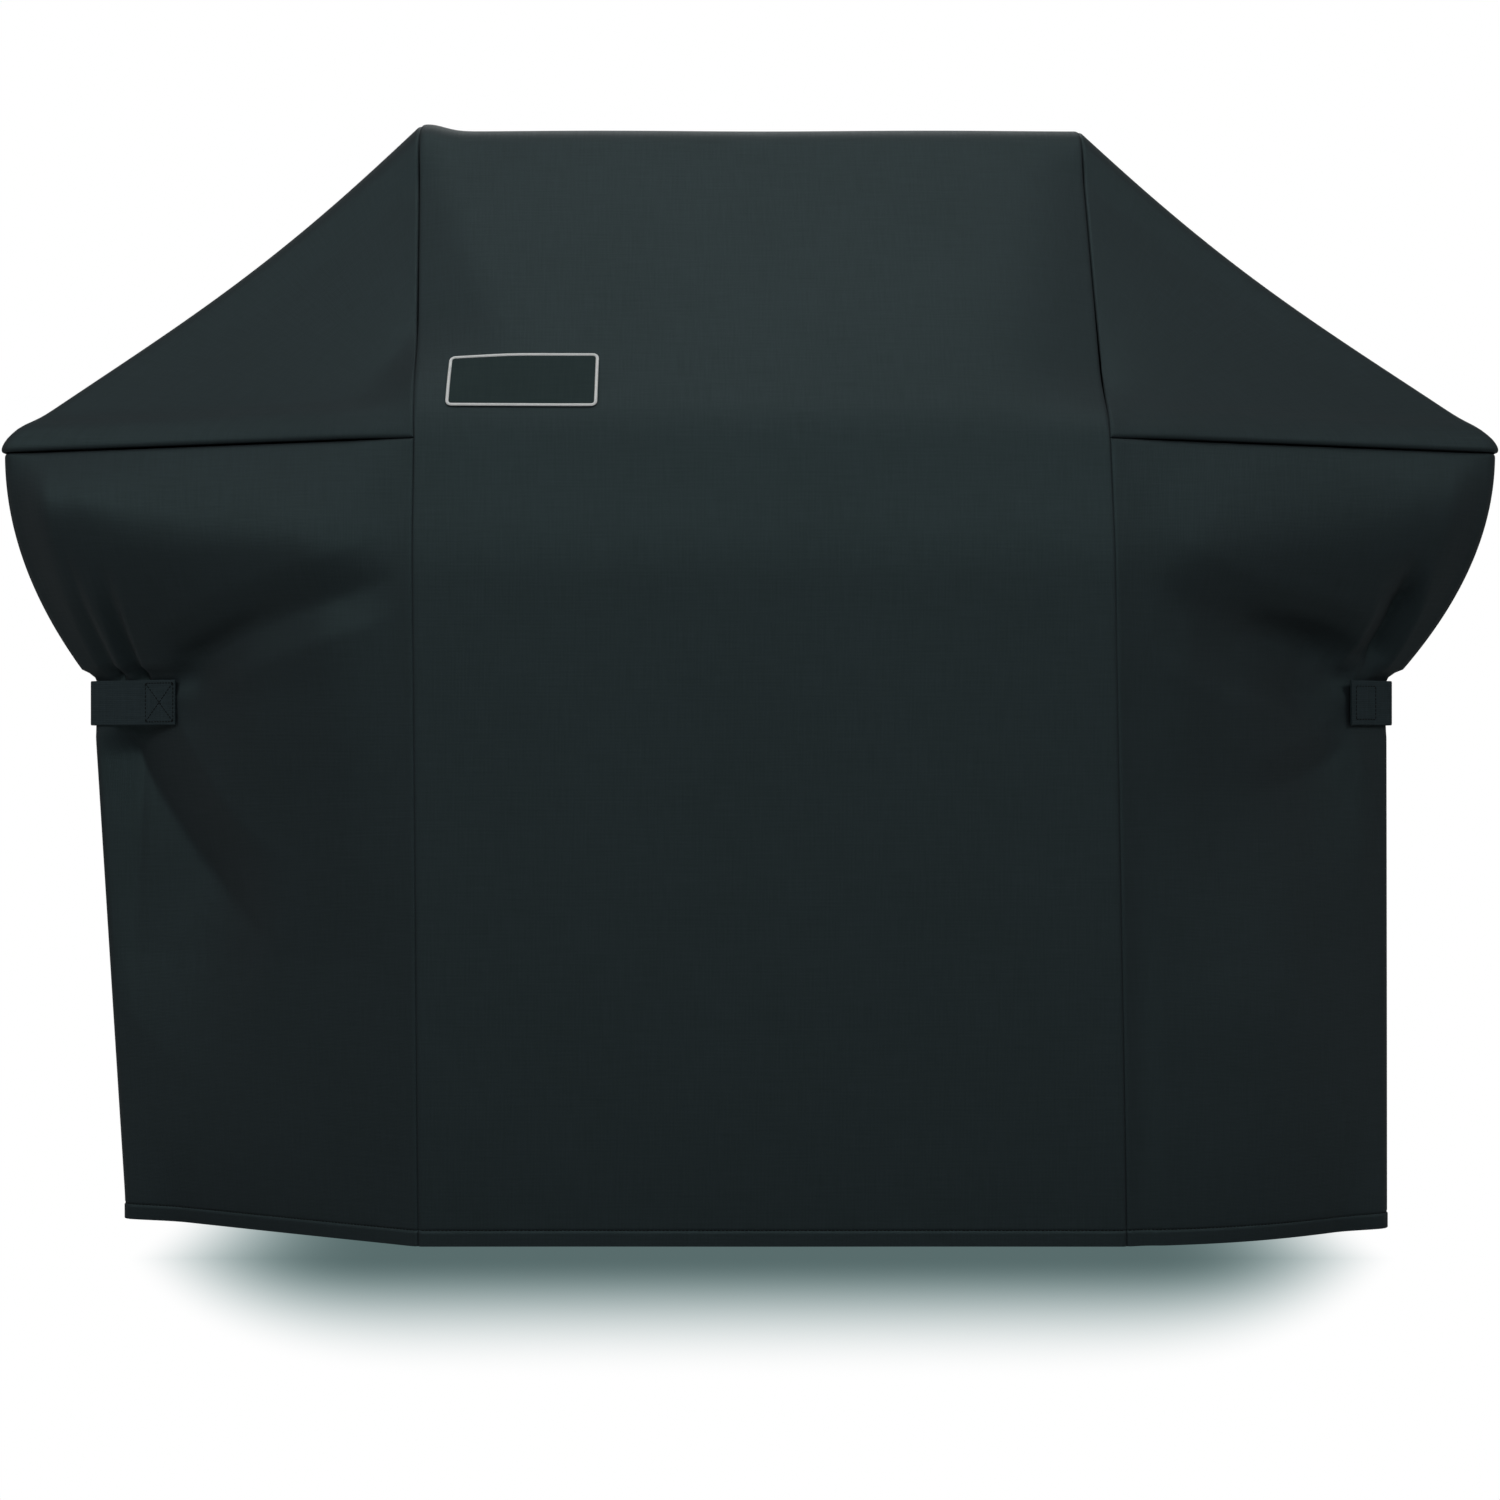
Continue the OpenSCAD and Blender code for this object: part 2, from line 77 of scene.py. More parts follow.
# Front panel
# The middle strip of coated polyester, from the front hem over the lid's edge to the seam across the top.
# It hangs straight, breaks twice below the lid, climbs the slope and turns over the lid's edge.
top_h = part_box("front_panel")[1].z
shelf_h = 865 * mm
seam_gap = 0.4 * mm
cloth_t = 1.5 * mm
strip_levels = [0, shelf_h, top_h]
strip_widths = [756 * mm, 749 * mm, 770 * mm]
strip_leans = [24 * mm, 13 * mm, 0]
slope_foot_h = 839 * mm
low_break_h, low_break_r = 745 * mm, 330 * mm
high_break_h, high_break_r = 885 * mm, 130 * mm
top_front, top_front_r = 75 * mm, 60 * mm
top_back, top_back_r = 130 * mm, 90 * mm
back_break_h, back_break_r = 1000 * mm, 200 * mm
top_seam_y = 70 * mm


def unit(v):
    return v / np.maximum(np.linalg.norm(v, axis=-1, keepdims=True), 1e-12)


def ease(t):
    t = np.clip(t, 0, 1)
    return t * t * (3 - 2 * t)


def rounded_path(corners, arc_steps=24):
    """Points along a path through corners (a, b, radius), each but the first and the last rounded."""
    places = [np.array(c[:2], float) for c in corners]
    path = [places[0]]
    for before, here, after, (_, _, r) in zip(places, places[1:], places[2:], corners[1:]):
        back, on = unit(before - here), unit(after - here)
        half = np.arccos(back @ on) / 2
        centre = here + unit(back + on) * r / np.sin(half)
        first, last = here + back * r / np.tan(half) - centre, here + on * r / np.tan(half) - centre
        turn = np.pi - 2 * half
        for k in np.linspace(0, 1, arc_steps + 1):
            path.append(centre + (np.sin((1 - k) * turn) * first + np.sin(k * turn) * last) / np.sin(turn))
    return np.array(path + [places[-1]])


def run_of(path):
    """Length along a path at each of its points."""
    return np.r_[0, np.cumsum(np.linalg.norm(np.diff(path, axis=0), axis=1))]


high_break_y = front_y + (high_break_h - slope_foot_h) / (top_h - slope_foot_h) * (-top_front - front_y)
side_corners = rounded_path([
    (front_y, 0, 0),
    (front_y, low_break_h, low_break_r),
    (high_break_y, high_break_h, high_break_r),
    (-top_front, top_h, top_front_r),
    (top_back, top_h, top_back_r),
    (back_y, back_break_h, back_break_r),
    (back_y, 0, 0)])
side_run = run_of(side_corners)
side_s = np.arange(0, side_run[-1], 1 * mm)
side_y = np.interp(side_s, side_run, side_corners[:, 0])
side_z = np.interp(side_s, side_run, side_corners[:, 1])
side_slope = unit(np.c_[np.gradient(side_y), np.gradient(side_z)])
flat_top = np.flatnonzero(side_z > top_h - 0.01 * mm)
top_seam_s = np.interp(top_seam_y, side_y[flat_top], side_s[flat_top])


def front_s(z):
    return np.interp(z, side_z[:flat_top[0]], side_s[:flat_top[0]])


def back_s(z):
    return np.interp(-z, -side_z[flat_top[-1]:], side_s[flat_top[-1]:])


def strip_edge(side, z):
    """Where the seam beside the strip lies across the cover, on the left (-1) or the right (1)."""
    return side * np.interp(z, strip_levels, strip_widths) / 2 + np.interp(z, strip_levels, strip_leans)


# How the strip departs from its straight side view: it peaks a little at the upper left corner, and the
# slope turns down beside a soft crease from each upper corner of the lid.
peak_h, peak_x, peak_w = 8 * mm, -376 * mm, 25 * mm
peak_low_h, peak_full_h = 1170 * mm, 1240 * mm
sway_out, sway_w, sway_h, sway_x, sway_z = 0.5 * mm, 61 * mm, 118 * mm, 1.3, 0.6
left_crease = [(-376 * mm, 1223 * mm), (-238 * mm, 908 * mm)]
right_crease = [(345 * mm, 1196 * mm), (269 * mm, 885 * mm)]
left_turn, left_turn_r = math.radians(15), 8 * mm
right_turn, right_turn_r = math.radians(15), 20 * mm
left_low_h, left_full_h = 915 * mm, 1025 * mm
right_low_h, right_full_h = 865 * mm, 970 * mm
crease_top_h, crease_end_h = 1185 * mm, 1245 * mm
hem_lean_h = 140 * mm
strip_hem_lean = 3 * mm


def beyond(line, side, x, z, softness):
    """Distance past a straight crease on one side of it, easing in over a softness."""
    (x0, z0), (x1, z1) = line
    n = unit(np.array([z0 - z1, x1 - x0]) * side)
    d = (x - x0) * n[0] + (z - z0) * n[1]
    return softness * np.logaddexp(0, d / softness)


def hem_lean(z, lean):
    return -lean * np.clip(1 - z / hem_lean_h, 0, 1) ** 2


def strip_form(x, y, z):
    raised = ease((z - peak_low_h) / (peak_full_h - peak_low_h))
    peak = peak_h * np.exp(-((x - peak_x) / peak_w) ** 2) * raised
    fade = ease((crease_end_h - z) / (crease_end_h - crease_top_h)) * (y < 0)
    left = -math.tan(left_turn) * beyond(left_crease, -1, x, z, left_turn_r)
    left = left * ease((z - left_low_h) / (left_full_h - left_low_h))
    right = -math.tan(right_turn) * beyond(right_crease, 1, x, z, right_turn_r)
    right = right * ease((z - right_low_h) / (right_full_h - right_low_h))
    sway = sway_out * np.sin(x / sway_w + sway_x) * np.sin(z / sway_h + sway_z)
    return peak + fade * (left + right) + sway + hem_lean(z, strip_hem_lean)


def strip_point(x, s):
    """Point of the strip's outer face at a place across the cover and a length along its side view."""
    y, z = np.interp(s, side_s, side_y), np.interp(s, side_s, side_z)
    slope_y, slope_z = (np.interp(s, side_s, side_slope[:, k]) for k in (0, 1))
    out = strip_form(x, y, z)
    return np.stack(np.broadcast_arrays(x, y - out * slope_z, z + out * slope_y), -1)


# The cloth is laid out on a grid that is close beside the seams and the hem and even between.
cloth_step = 6.5 * mm
beside_seam = np.array([0, 0.5, 1.2, 2, 3.2, 5, 7.5, 11, 16, 22]) * mm
beside_hem = np.array([0, 0.6, 1.5, 3, 6, 10, 13, 15, 16.2, 17, 17.8, 19, 20, 24]) * mm
seam_depth, seam_width, seam_allowance = 3.4 * mm, 5 * mm, 20 * mm
hem_h, hem_stitch_h = 20 * mm, 17 * mm
hem_proud, hem_step, hem_groove, hem_groove_w = 0.7 * mm, 2 * mm, 0.9 * mm, 1.1 * mm


def cloth_steps(length, first, last, step=cloth_step):
    """Distances along a run of cloth: close ones from each end, and even ones between."""
    count = math.ceil((length - first[-1] - last[-1]) / step)
    return np.r_[first[:-1], np.linspace(first[-1], length - last[-1], count + 1), length - last[-2::-1]]


def grid_normals(grid):
    return unit(np.cross(np.gradient(grid, axis=1), np.gradient(grid, axis=0)))


def runs(grid, axis):
    """Length along the rows or the columns of a grid, at each of its points."""
    steps = np.linalg.norm(np.diff(grid, axis=axis), axis=-1)
    first = np.zeros_like(np.take(steps, [0], axis=axis))
    return np.cumsum(np.concatenate([first, steps], axis=axis), axis=axis)


def sewn(grid, seams, hem=True):
    """The grid with its sewn edges turned in, and its hem a little thicker below a line of stitches."""
    along, up = runs(grid, 1), runs(grid, 0)
    gaps = {"first": along, "last": along[:, -1:] - along, "low": up, "high": up[-1:] - up}
    near = np.clip(1 - np.min([gaps[s] for s in seams], axis=0) / seam_width, 0, 1)
    out = -seam_depth * (1 - np.sqrt(1 - near ** 2))
    if hem:
        out = out + hem_proud * ease((hem_stitch_h - grid[..., 2]) / hem_step)
        out = out - hem_groove * np.exp(-((grid[..., 2] - hem_stitch_h) / hem_groove_w) ** 2)
    return grid + grid_normals(grid) * out[..., None]


def cloth_piece(name, grid, thickness, out=0.0):
    """Closed sheet over a grid of points, its outer face a distance off them, with a UV map in metres."""
    rows, cols = grid.shape[:2]
    count = rows * cols
    normals = grid_normals(grid)
    points = np.r_[(grid + normals * out).reshape(-1, 3), (grid + normals * (out - thickness)).reshape(-1, 3)]
    at = np.arange(count).reshape(rows, cols)
    outer = np.stack([at[:-1, :-1], at[:-1, 1:], at[1:, 1:], at[1:, :-1]], -1).reshape(-1, 4)
    ring = np.r_[at[0, :-1], at[:-1, -1], at[-1, :0:-1], at[:0:-1, 0]]
    after = np.roll(ring, -1)
    rim = np.stack([after, ring, ring + count, after + count], -1)
    faces = np.r_[outer, outer[:, ::-1] + count, rim]
    mesh = bpy.data.meshes.new(name)
    mesh.from_pydata(points.tolist(), [], faces.tolist())
    lengths = np.stack(np.broadcast_arrays(runs(grid, 1).mean(0), runs(grid, 0).mean(1)[:, None]), -1)
    corners = np.zeros(len(mesh.loops), np.int32)
    mesh.loops.foreach_get("vertex_index", corners)
    uv = mesh.uv_layers.new(name="cloth")
    uv.data.foreach_set("uv", lengths.reshape(-1, 2)[corners % count].astype(np.float32).ravel())
    piece = bpy.data.objects.new(name, mesh)
    bpy.context.collection.objects.link(piece)
    bpy.context.view_layer.objects.active = piece
    piece.select_set(True)
    bpy.ops.object.shade_smooth_by_angle(angle=math.radians(50))
    piece.select_set(False)
    return piece


def strip_panel(rows):
    """Grid of the strip between its two seams, at lengths along its side view."""
    share = cloth_steps(strip_widths[0], beside_seam, beside_seam) / strip_widths[0]
    z = np.interp(rows, side_s, side_z)[:, None]
    left_x, right_x = strip_edge(-1, z) + seam_gap / 2, strip_edge(1, z) - seam_gap / 2
    return strip_point(left_x + share * (right_x - left_x), rows[:, None])


# Coated polyester, plain woven and matt: a dark charcoal with a little green in it. The coating takes a broad
# soft shine. Threads of half a millimetre don't show, so the weave is drawn three times as coarse.
cloth_dark, cloth_light, coating_tint = "#1A1D20", "#23272D", "#CBFFFE"
thread_pitch, cloth_rough, cloth_bump = 1.5 * mm, 0.6, 0.35
cloth_shine, cloth_sheen, cloth_sheen_rough = 0.5, 0.03, 0.5
slub_w, slub_l = 2.2 * mm, 45 * mm
cloud_scale = 7
base_tone, slub_tone, thread_tone, cloud_tone = -0.05, 0.55, 0.2, 0.3
tone_low, tone_high, rough_change = 0.35, 1.05, 0.05
slub_relief, relief_h = 0.7, 0.25 * mm


def linear(code):
    """Linear colour of an sRGB hex code."""
    parts = [int(code[k:k + 2], 16) / 255 for k in (1, 3, 5)]
    return [p / 12.92 if p <= 0.04045 else ((p + 0.055) / 1.055) ** 2.4 for p in parts] + [1.0]


def add(tree, kind, inputs, **settings):
    """Adds a node with its settings, and links or sets its inputs."""
    made = tree.nodes.new(kind)
    for name, value in settings.items():
        setattr(made, name, value)
    for name, value in inputs.items():
        if isinstance(value, bpy.types.NodeSocket):
            tree.links.new(value, made.inputs[name])
        else:
            made.inputs[name].default_value = value
    return made


def new_material(name):
    material = bpy.data.materials.new(name)
    material.use_nodes = True
    return material, material.node_tree, material.node_tree.nodes["Principled BSDF"]


def wave_scale(pitch):
    """Scale at which Blender's wave texture repeats once in a pitch."""
    return 2 * math.pi / (20 * pitch)


def woven(name, dark, light, pitch, rough, bump):
    """Plain weave on the UV map: crossed threads of a pitch, with thicker and thinner places along them."""
    material, tree, shader = new_material(name)
    uv = add(tree, "ShaderNodeUVMap", {}, uv_map="cloth").outputs["UV"]
    across = add(tree, "ShaderNodeMapping", {"Vector": uv, "Scale": (1 / slub_w, 1 / slub_l, 1)}).outputs[0]
    down = add(tree, "ShaderNodeMapping", {"Vector": uv, "Scale": (1 / slub_l, 1 / slub_w, 1)}).outputs[0]
    warp_slub = add(tree, "ShaderNodeTexNoise", {"Vector": across, "Scale": 1, "Detail": 2}).outputs["Fac"]
    weft_slub = add(tree, "ShaderNodeTexNoise", {"Vector": down, "Scale": 1, "Detail": 2}).outputs["Fac"]
    slub = add(tree, "ShaderNodeMath", {0: warp_slub, 1: weft_slub}, operation="ADD").outputs[0]
    warp = add(tree, "ShaderNodeTexWave", {"Vector": uv, "Scale": wave_scale(pitch)}, bands_direction="X")
    weft = add(tree, "ShaderNodeTexWave", {"Vector": uv, "Scale": wave_scale(pitch)}, bands_direction="Y")
    threads = add(tree, "ShaderNodeMath", {0: warp.outputs["Fac"], 1: weft.outputs["Fac"]},
                  operation="MULTIPLY").outputs[0]
    cloud = add(tree, "ShaderNodeTexNoise", {"Vector": uv, "Scale": cloud_scale, "Detail": 3}).outputs["Fac"]
    tone = base_tone
    for part, weight in ((slub, slub_tone), (threads, thread_tone), (cloud, cloud_tone)):
        tone = add(tree, "ShaderNodeMath", {0: part, 1: weight, 2: tone}, operation="MULTIPLY_ADD").outputs[0]
    toned = {"Value": tone, "From Min": tone_low, "From Max": tone_high}
    ramp = add(tree, "ShaderNodeMapRange", toned).outputs[0]
    colour = add(tree, "ShaderNodeMix", {0: ramp, 6: linear(dark), 7: linear(light)}, data_type="RGBA")
    tree.links.new(colour.outputs[2], shader.inputs["Base Color"])
    rough_map = add(tree, "ShaderNodeMapRange", {**toned, "To Min": rough + rough_change,
                                                 "To Max": rough - rough_change})
    tree.links.new(rough_map.outputs[0], shader.inputs["Roughness"])
    height = add(tree, "ShaderNodeMath", {0: slub, 1: slub_relief, 2: threads},
                 operation="MULTIPLY_ADD").outputs[0]
    relief = add(tree, "ShaderNodeBump", {"Height": height, "Strength": bump, "Distance": relief_h})
    tree.links.new(relief.outputs[0], shader.inputs["Normal"])
    return material, shader


cloth, cloth_shader = woven("coated_polyester", cloth_dark, cloth_light, thread_pitch, cloth_rough,
                            cloth_bump)
cloth_shader.inputs["Specular IOR Level"].default_value = cloth_shine
cloth_shader.inputs["Specular Tint"].default_value = linear(coating_tint)
cloth_shader.inputs["Sheen Weight"].default_value = cloth_sheen
cloth_shader.inputs["Sheen Roughness"].default_value = cloth_sheen_rough


def dress(piece, material, slot, *nodes, body="cover"):
    """Gives a piece its material, and puts it on its body in place of the CAD nodes; its slot is not used."""
    piece.data.materials.append(material)
    if body:
        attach(piece, body)
    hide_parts(*nodes)
    return piece


front_rows = cloth_steps(top_seam_s - seam_gap / 2, beside_hem, beside_seam)
front_grid = sewn(strip_panel(front_rows), ["first", "last", "high"])
front_panel = dress(cloth_piece("front_panel_cloth", front_grid, cloth_t), cloth, "cloth", "front_panel")

# Back panel
# The rest of the middle strip, of the same cloth, from the seam across the top down the back to its hem.
# The rows run on from the front panel's, down to the hem.
back_rows = side_s[-1] - cloth_steps(side_s[-1] - top_seam_s - seam_gap / 2, beside_hem, beside_seam)[::-1]
back_grid = strip_panel(back_rows)[::-1, ::-1]
back_grid = sewn(back_grid, ["first", "last", "high"])
back_panel = dress(cloth_piece("back_panel_cloth", back_grid, cloth_t), cloth, "cloth", "back_panel")

# End panels
# One piece of the same cloth on each side, sewn round the shelf seam and hanging to the hem round the front,
# the end and the back of the wing. The strap gathers it at the waist: it swells above and folds below.
tip_inset = 3 * mm
tip_w, tip_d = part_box("right_end_panel")[1].x - tip_inset, 330 * mm
waist_h, waist_low, waist_high = 583 * mm, 550 * mm, 616 * mm
waist_d = 200 * mm
waist_w = {-1: 758 * mm, 1: 737 * mm}
hem_w = {-1: 708 * mm, 1: 708 * mm}
hem_d = {-1: 334 * mm, 1: 452 * mm}
wing_fullness, face_fullness, width_fullness = 2.3, 1.6, 2.0
strap_top_h = 598 * mm
wing_corner_r = 18 * mm
wing_softness = 9
wing_side_l, wing_end_l = 450 * mm, 290 * mm
gather_step = 3 * mm
arc_shares = np.linspace(0, 1, 8)[1:-1]
levels = np.arange(0, shelf_h + 0.5 * mm, 1 * mm)


def wing_size(hem, waist, tip, high, fullness):
    """Width or depth of the wing at each level, from the hem past the waist to the tip, softened a little."""
    above = np.clip((shelf_h - levels) / (shelf_h - high), 0, 1) ** fullness
    below = np.clip((waist_low - levels) / (waist_low - hem_h), 0, 1)
    size = np.where(levels > high, tip - (tip - waist) * above, waist + (hem - waist) * below)
    reach = np.arange(-4 * wing_softness, 4 * wing_softness + 1)
    weights = np.exp(-0.5 * (reach / wing_softness) ** 2)
    padded = np.pad(size, 4 * wing_softness, mode="edge")
    return np.convolve(padded, weights / weights.sum(), mode="valid")


def corner_arc(a, b, c, r):
    """Points that round the corner at b between a and c, one row for each row of corners."""
    back, on = unit(a - b), unit(c - b)
    half = np.arccos(np.sum(back * on, -1, keepdims=True)) / 2
    centre = b + unit(back + on) * r / np.sin(half)
    first, last = b + back * r / np.tan(half), b + on * r / np.tan(half)
    turn = (np.pi - 2 * half)[..., None]
    k = arc_shares[None, :, None]
    arc = np.sin((1 - k) * turn) * (first - centre)[:, None] + np.sin(k * turn) * (last - centre)[:, None]
    return first, centre[:, None] + arc / np.sin(turn), last


def stretch(a, b, shares):
    return a[:, None] + (b - a)[:, None] * shares[None, :, None]


# A face's columns are even beside the lid, grow closer towards the gathers and stay close to the corner.
coarse_share, close_share, last_share, finer_count = 0.56, 0.97, 0.976, 20
even = cloth_steps(wing_side_l, beside_seam, np.array([0, cloth_step])) / wing_side_l
coarse, last = even[even < coarse_share], even[even > last_share]
finer = coarse[-1] + np.cumsum(np.linspace(cloth_step, gather_step, finer_count)) / wing_side_l
close = np.arange(finer[-1] * wing_side_l + gather_step, close_share * wing_side_l, gather_step) / wing_side_l
side_shares = np.r_[coarse, finer, close, last]
end_shares = np.linspace(0, 1, round(wing_end_l / cloth_step) + 1)
near_front = np.arange(len(side_shares))
wing_cols = 2 * (len(side_shares) + len(arc_shares)) + len(end_shares)

# Where each face's crease climbs from the strap to the seam, as shares of the face and heights
sewn_crease = ([0, 0.15, 0.29, 0.43, 0.59, 0.72, 1],
               [720 * mm, 695 * mm, 681 * mm, 665 * mm, 639 * mm, 616 * mm, 616 * mm])
free_crease = ([0, 0.18, 0.32, 0.48, 0.65, 0.88, 1],
               [712 * mm, 701 * mm, 680 * mm, 665 * mm, 650 * mm, 618 * mm, 616 * mm])
crease_band = 30 * mm
crease_spread = np.linspace(-0.05, 0.05, 9)
band_from, band_over = 0.5, 0.22
level_from, level_over = 0.6, 0.2
corner_share = 0.12


def climbed(share, z, crease):
    """Height whose depth a face takes at a place, where its waist climbs towards the seam."""
    high = sum(np.interp(share + d, *crease) for d in crease_spread) / len(crease_spread)
    wider = ease((share - band_from) / band_over)
    low = high - crease_band - (waist_high - waist_low - crease_band) * wider
    low = low + (waist_low - low) * ease((share - level_from) / level_over)
    level = np.where(z > high, shelf_h - (shelf_h - z) * (shelf_h - waist_high) / (shelf_h - high),
                     waist_low + (z - low) * (waist_high - waist_low) / (high - low))
    return np.where(z < low, z * waist_low / low, level)


def wing_grid(side, z):
    """Grid of a wing to the right of the middle, from the front seam round the end to the back seam."""
    front, back = (strip_point(strip_edge(side, z), s) * [side, 1, 1] for s in (front_s(z), back_s(z)))
    a, e = front[:, :2] + [seam_gap / 2, 0], back[:, :2] + [seam_gap / 2, 0]
    width = np.interp(z, levels, wing_size(hem_w[side], waist_w[side], tip_w, strap_top_h, width_fullness))
    depth = np.interp(z, levels, wing_size(hem_d[side], waist_d, tip_d, waist_high, wing_fullness))
    face_depths = wing_size(hem_d[side], waist_d, tip_d, waist_high, face_fullness)
    b, c = np.c_[width, -depth / 2], np.c_[width, depth / 2]
    front_first, front_arc, front_last = corner_arc(a, b, c, wing_corner_r)
    back_first, back_arc, back_last = corner_arc(b, c, e, wing_corner_r)
    plan = np.concatenate([
        stretch(a, front_first, side_shares), front_arc, stretch(front_last, back_first, end_shares),
        back_arc, stretch(back_last, e, 1 - side_shares[::-1])], axis=1)
    grid = np.concatenate([plan, np.broadcast_to(z[:, None, None], plan.shape[:2] + (1,))], axis=2)
    for face, crease, sign in ((near_front, sewn_crease if side < 0 else free_crease, -1),
                               (wing_cols - 1 - near_front, free_crease if side < 0 else sewn_crease, 1)):
        from_seam = (grid[:, face, 0] - a[:, :1]) / (width - a[:, 0])[:, None]
        level = climbed(from_seam, z[:, None], crease)
        deeper = (np.interp(level, levels, face_depths) - depth[:, None]) / 2
        grid[:, face, 1] += sign * from_seam * deeper * ease((1 - from_seam) / corner_share)
    return grid


def curve_through(points, count=110):
    """Smooth curve through given points in millimetres."""
    p = np.array(points, float) * mm
    p = np.r_[[2 * p[0] - p[1]], p, [2 * p[-1] - p[-2]]]
    at = np.linspace(0, len(points) - 1 - 1e-9, count)
    k, t = at.astype(int), (at % 1)[:, None]
    lead = p[k + 2] - p[k]
    bend = 2 * p[k] - 5 * p[k + 1] + 4 * p[k + 2] - p[k + 3]
    twist = 3 * p[k + 1] - p[k] - 3 * p[k + 2] + p[k + 3]
    return 0.5 * (2 * p[k + 1] + lead * t + bend * t ** 2 + twist * t ** 3)


flank_round = 1.15


def fold(across, z, points, depth, left_w, right_w, start=0.15, end=0.3, sharp=2 * mm):
    """Valley along a curve: its two flanks have their own widths, and it fades over shares of its length."""
    curve = curve_through(points)
    course = unit(np.gradient(curve, axis=0))
    gap = np.stack([across, z], -1)[..., None, :] - curve
    nearest = np.argmin(np.sum(gap ** 2, -1), axis=-1)
    gap = np.take_along_axis(gap, nearest[..., None, None], axis=-2)[..., 0, :]
    turn = course[nearest][..., 0] * gap[..., 1] - course[nearest][..., 1] * gap[..., 0]
    flank = np.where(turn > 0, left_w, right_w)
    share = nearest / (len(curve) - 1)
    fade = ease(share / max(start, 1e-6)) * ease((1 - share) / max(end, 1e-6))
    away = np.sqrt(np.sum(gap ** 2, -1) + sharp ** 2) - sharp
    return -depth * fade * np.clip(1 - away / flank, 0, 1) ** flank_round


face_l = 430 * mm


def bell(t, middle, half):
    return np.exp(-((t - middle) / half) ** 2)


# The cloth leans out below the shelf seam until it passes the edge of the shelf, then comes in slowly,
# except where the strap draws it in.
swell_drops = ([0.15, 0.3, 0.52, 0.65, 0.78], [105 * mm, 97 * mm, 92 * mm, 80 * mm, 60 * mm])
swell_levels = ([300 * mm, 480 * mm, 640 * mm, 700 * mm, 750 * mm], [0, 0.34, 0.74, 0.92, 1])
draw_from, draw_over, draw_h, draw_half = 0.42, 0.3, waist_h - 10 * mm, 85 * mm
swell_start_l, swell_end = 110 * mm, 0.13


def swell(across, z, height, firm):
    """How far a face stands out in front of the straight line from the seam beside the lid to the corner."""
    share = across / face_l
    down = (shelf_h - z) / np.interp(share, *swell_drops)
    leaned = 1 - np.logaddexp(0, firm * (1 - down)) / firm
    drawn = 1 - ease((share - draw_from) / draw_over) * bell(z, draw_h, draw_half)
    grown = ease(across / swell_start_l) * ease((1 - share) / swell_end)
    return height * leaned * np.interp(z, *swell_levels) * drawn * grown


def sewn_form(across, z):
    """Folds of the face on which the strap is sewn."""
    line = [(4, 721), (66, 697), (122, 681), (183, 662), (252, 634), (318, 606)]
    crease = fold(across, z, line, 11 * mm, 42 * mm, 38 * mm, 0.25, 0.2)
    crease = crease + fold(across, z, line[2:], 8 * mm, 18 * mm, 26 * mm, 0.6, 0.25)
    pinch = fold(across, z, [(360, 600), (342, 680), (326, 750)], 11 * mm, 12 * mm, 13 * mm, 0.02, 0.8)
    tuck = fold(across, z, [(392, 600), (376, 690), (368, 790)], 8 * mm, 11 * mm, 14 * mm, 0.02, 0.8)
    wedge = fold(across, z, [(410, 556), (368, 488), (308, 405), (244, 348), (176, 318)],
                 34 * mm, 190 * mm, 88 * mm, 0.1, 0.5)
    return crease + pinch + tuck + wedge


def free_form(across, z):
    """Folds of the face on which the strap closes."""
    line = [(40, 700), (77, 692), (138, 670), (206, 654), (280, 638), (378, 606)]
    crease = fold(across, z, line, 20 * mm, 48 * mm, 70 * mm, 0.6, 0.2, 6 * mm)
    crease = crease + fold(across, z, line[2:], 11 * mm, 22 * mm, 20 * mm, 0.5, 0.2, 6 * mm)
    pleat = fold(across, z, [(384, 604), (375, 660), (364, 702), (336, 756)],
                 26 * mm, 38 * mm, 18 * mm, 0.2, 0.5)
    drape = fold(across, z, [(375, 545), (311, 509), (236, 488), (170, 470)],
                 8 * mm, 110 * mm, 36 * mm, 0.25, 0.6)
    return crease + pleat + drape


belly_top_h, belly_drop, belly_start_l = 500 * mm, 280 * mm, 60 * mm
gather_count, gather_phase, gather_depth, gather_half = 3, 0.18, 10 * mm, 130 * mm


def belly(across, z, height):
    """How far the lower part of a face stands out between the seam and the corner."""
    bow = np.sin(math.pi * np.clip(across / face_l, 0, 1))
    return height * bow * ease((belly_top_h - z) / belly_drop) * ease(across / belly_start_l)


def end_form(share, z):
    """Gathers round the end of the wing, drawn in most beside the strap."""
    waves = 0.5 + 0.5 * np.cos(2 * math.pi * (gather_count * share + gather_phase))
    return -gather_depth * waves * bell(z, waist_h, gather_half) * ease(4 * share) * ease(4 * (1 - share))


strap_hold_h, strap_hold_fade, strap_hold, strap_press = 27 * mm, 14 * mm, 0.8 * mm, 7 * mm
press_low_h, press_low_fade, press_high_h, press_high_fade = 586 * mm, 20 * mm, 623 * mm, 13 * mm
sewn_reach, free_reach, reach_fade = 196 * mm, 138 * mm, 62 * mm
face_from, face_over = 0.34, 0.14
seam_free_l, corner_free_l = 45 * mm, 40 * mm
wing_hem_lean, lean_fade_l = 15 * mm, 90 * mm
swells = {-1: (40 * mm, 6), 1: (25 * mm, 3)}
bellies = {-1: 2 * mm, 1: 26 * mm}


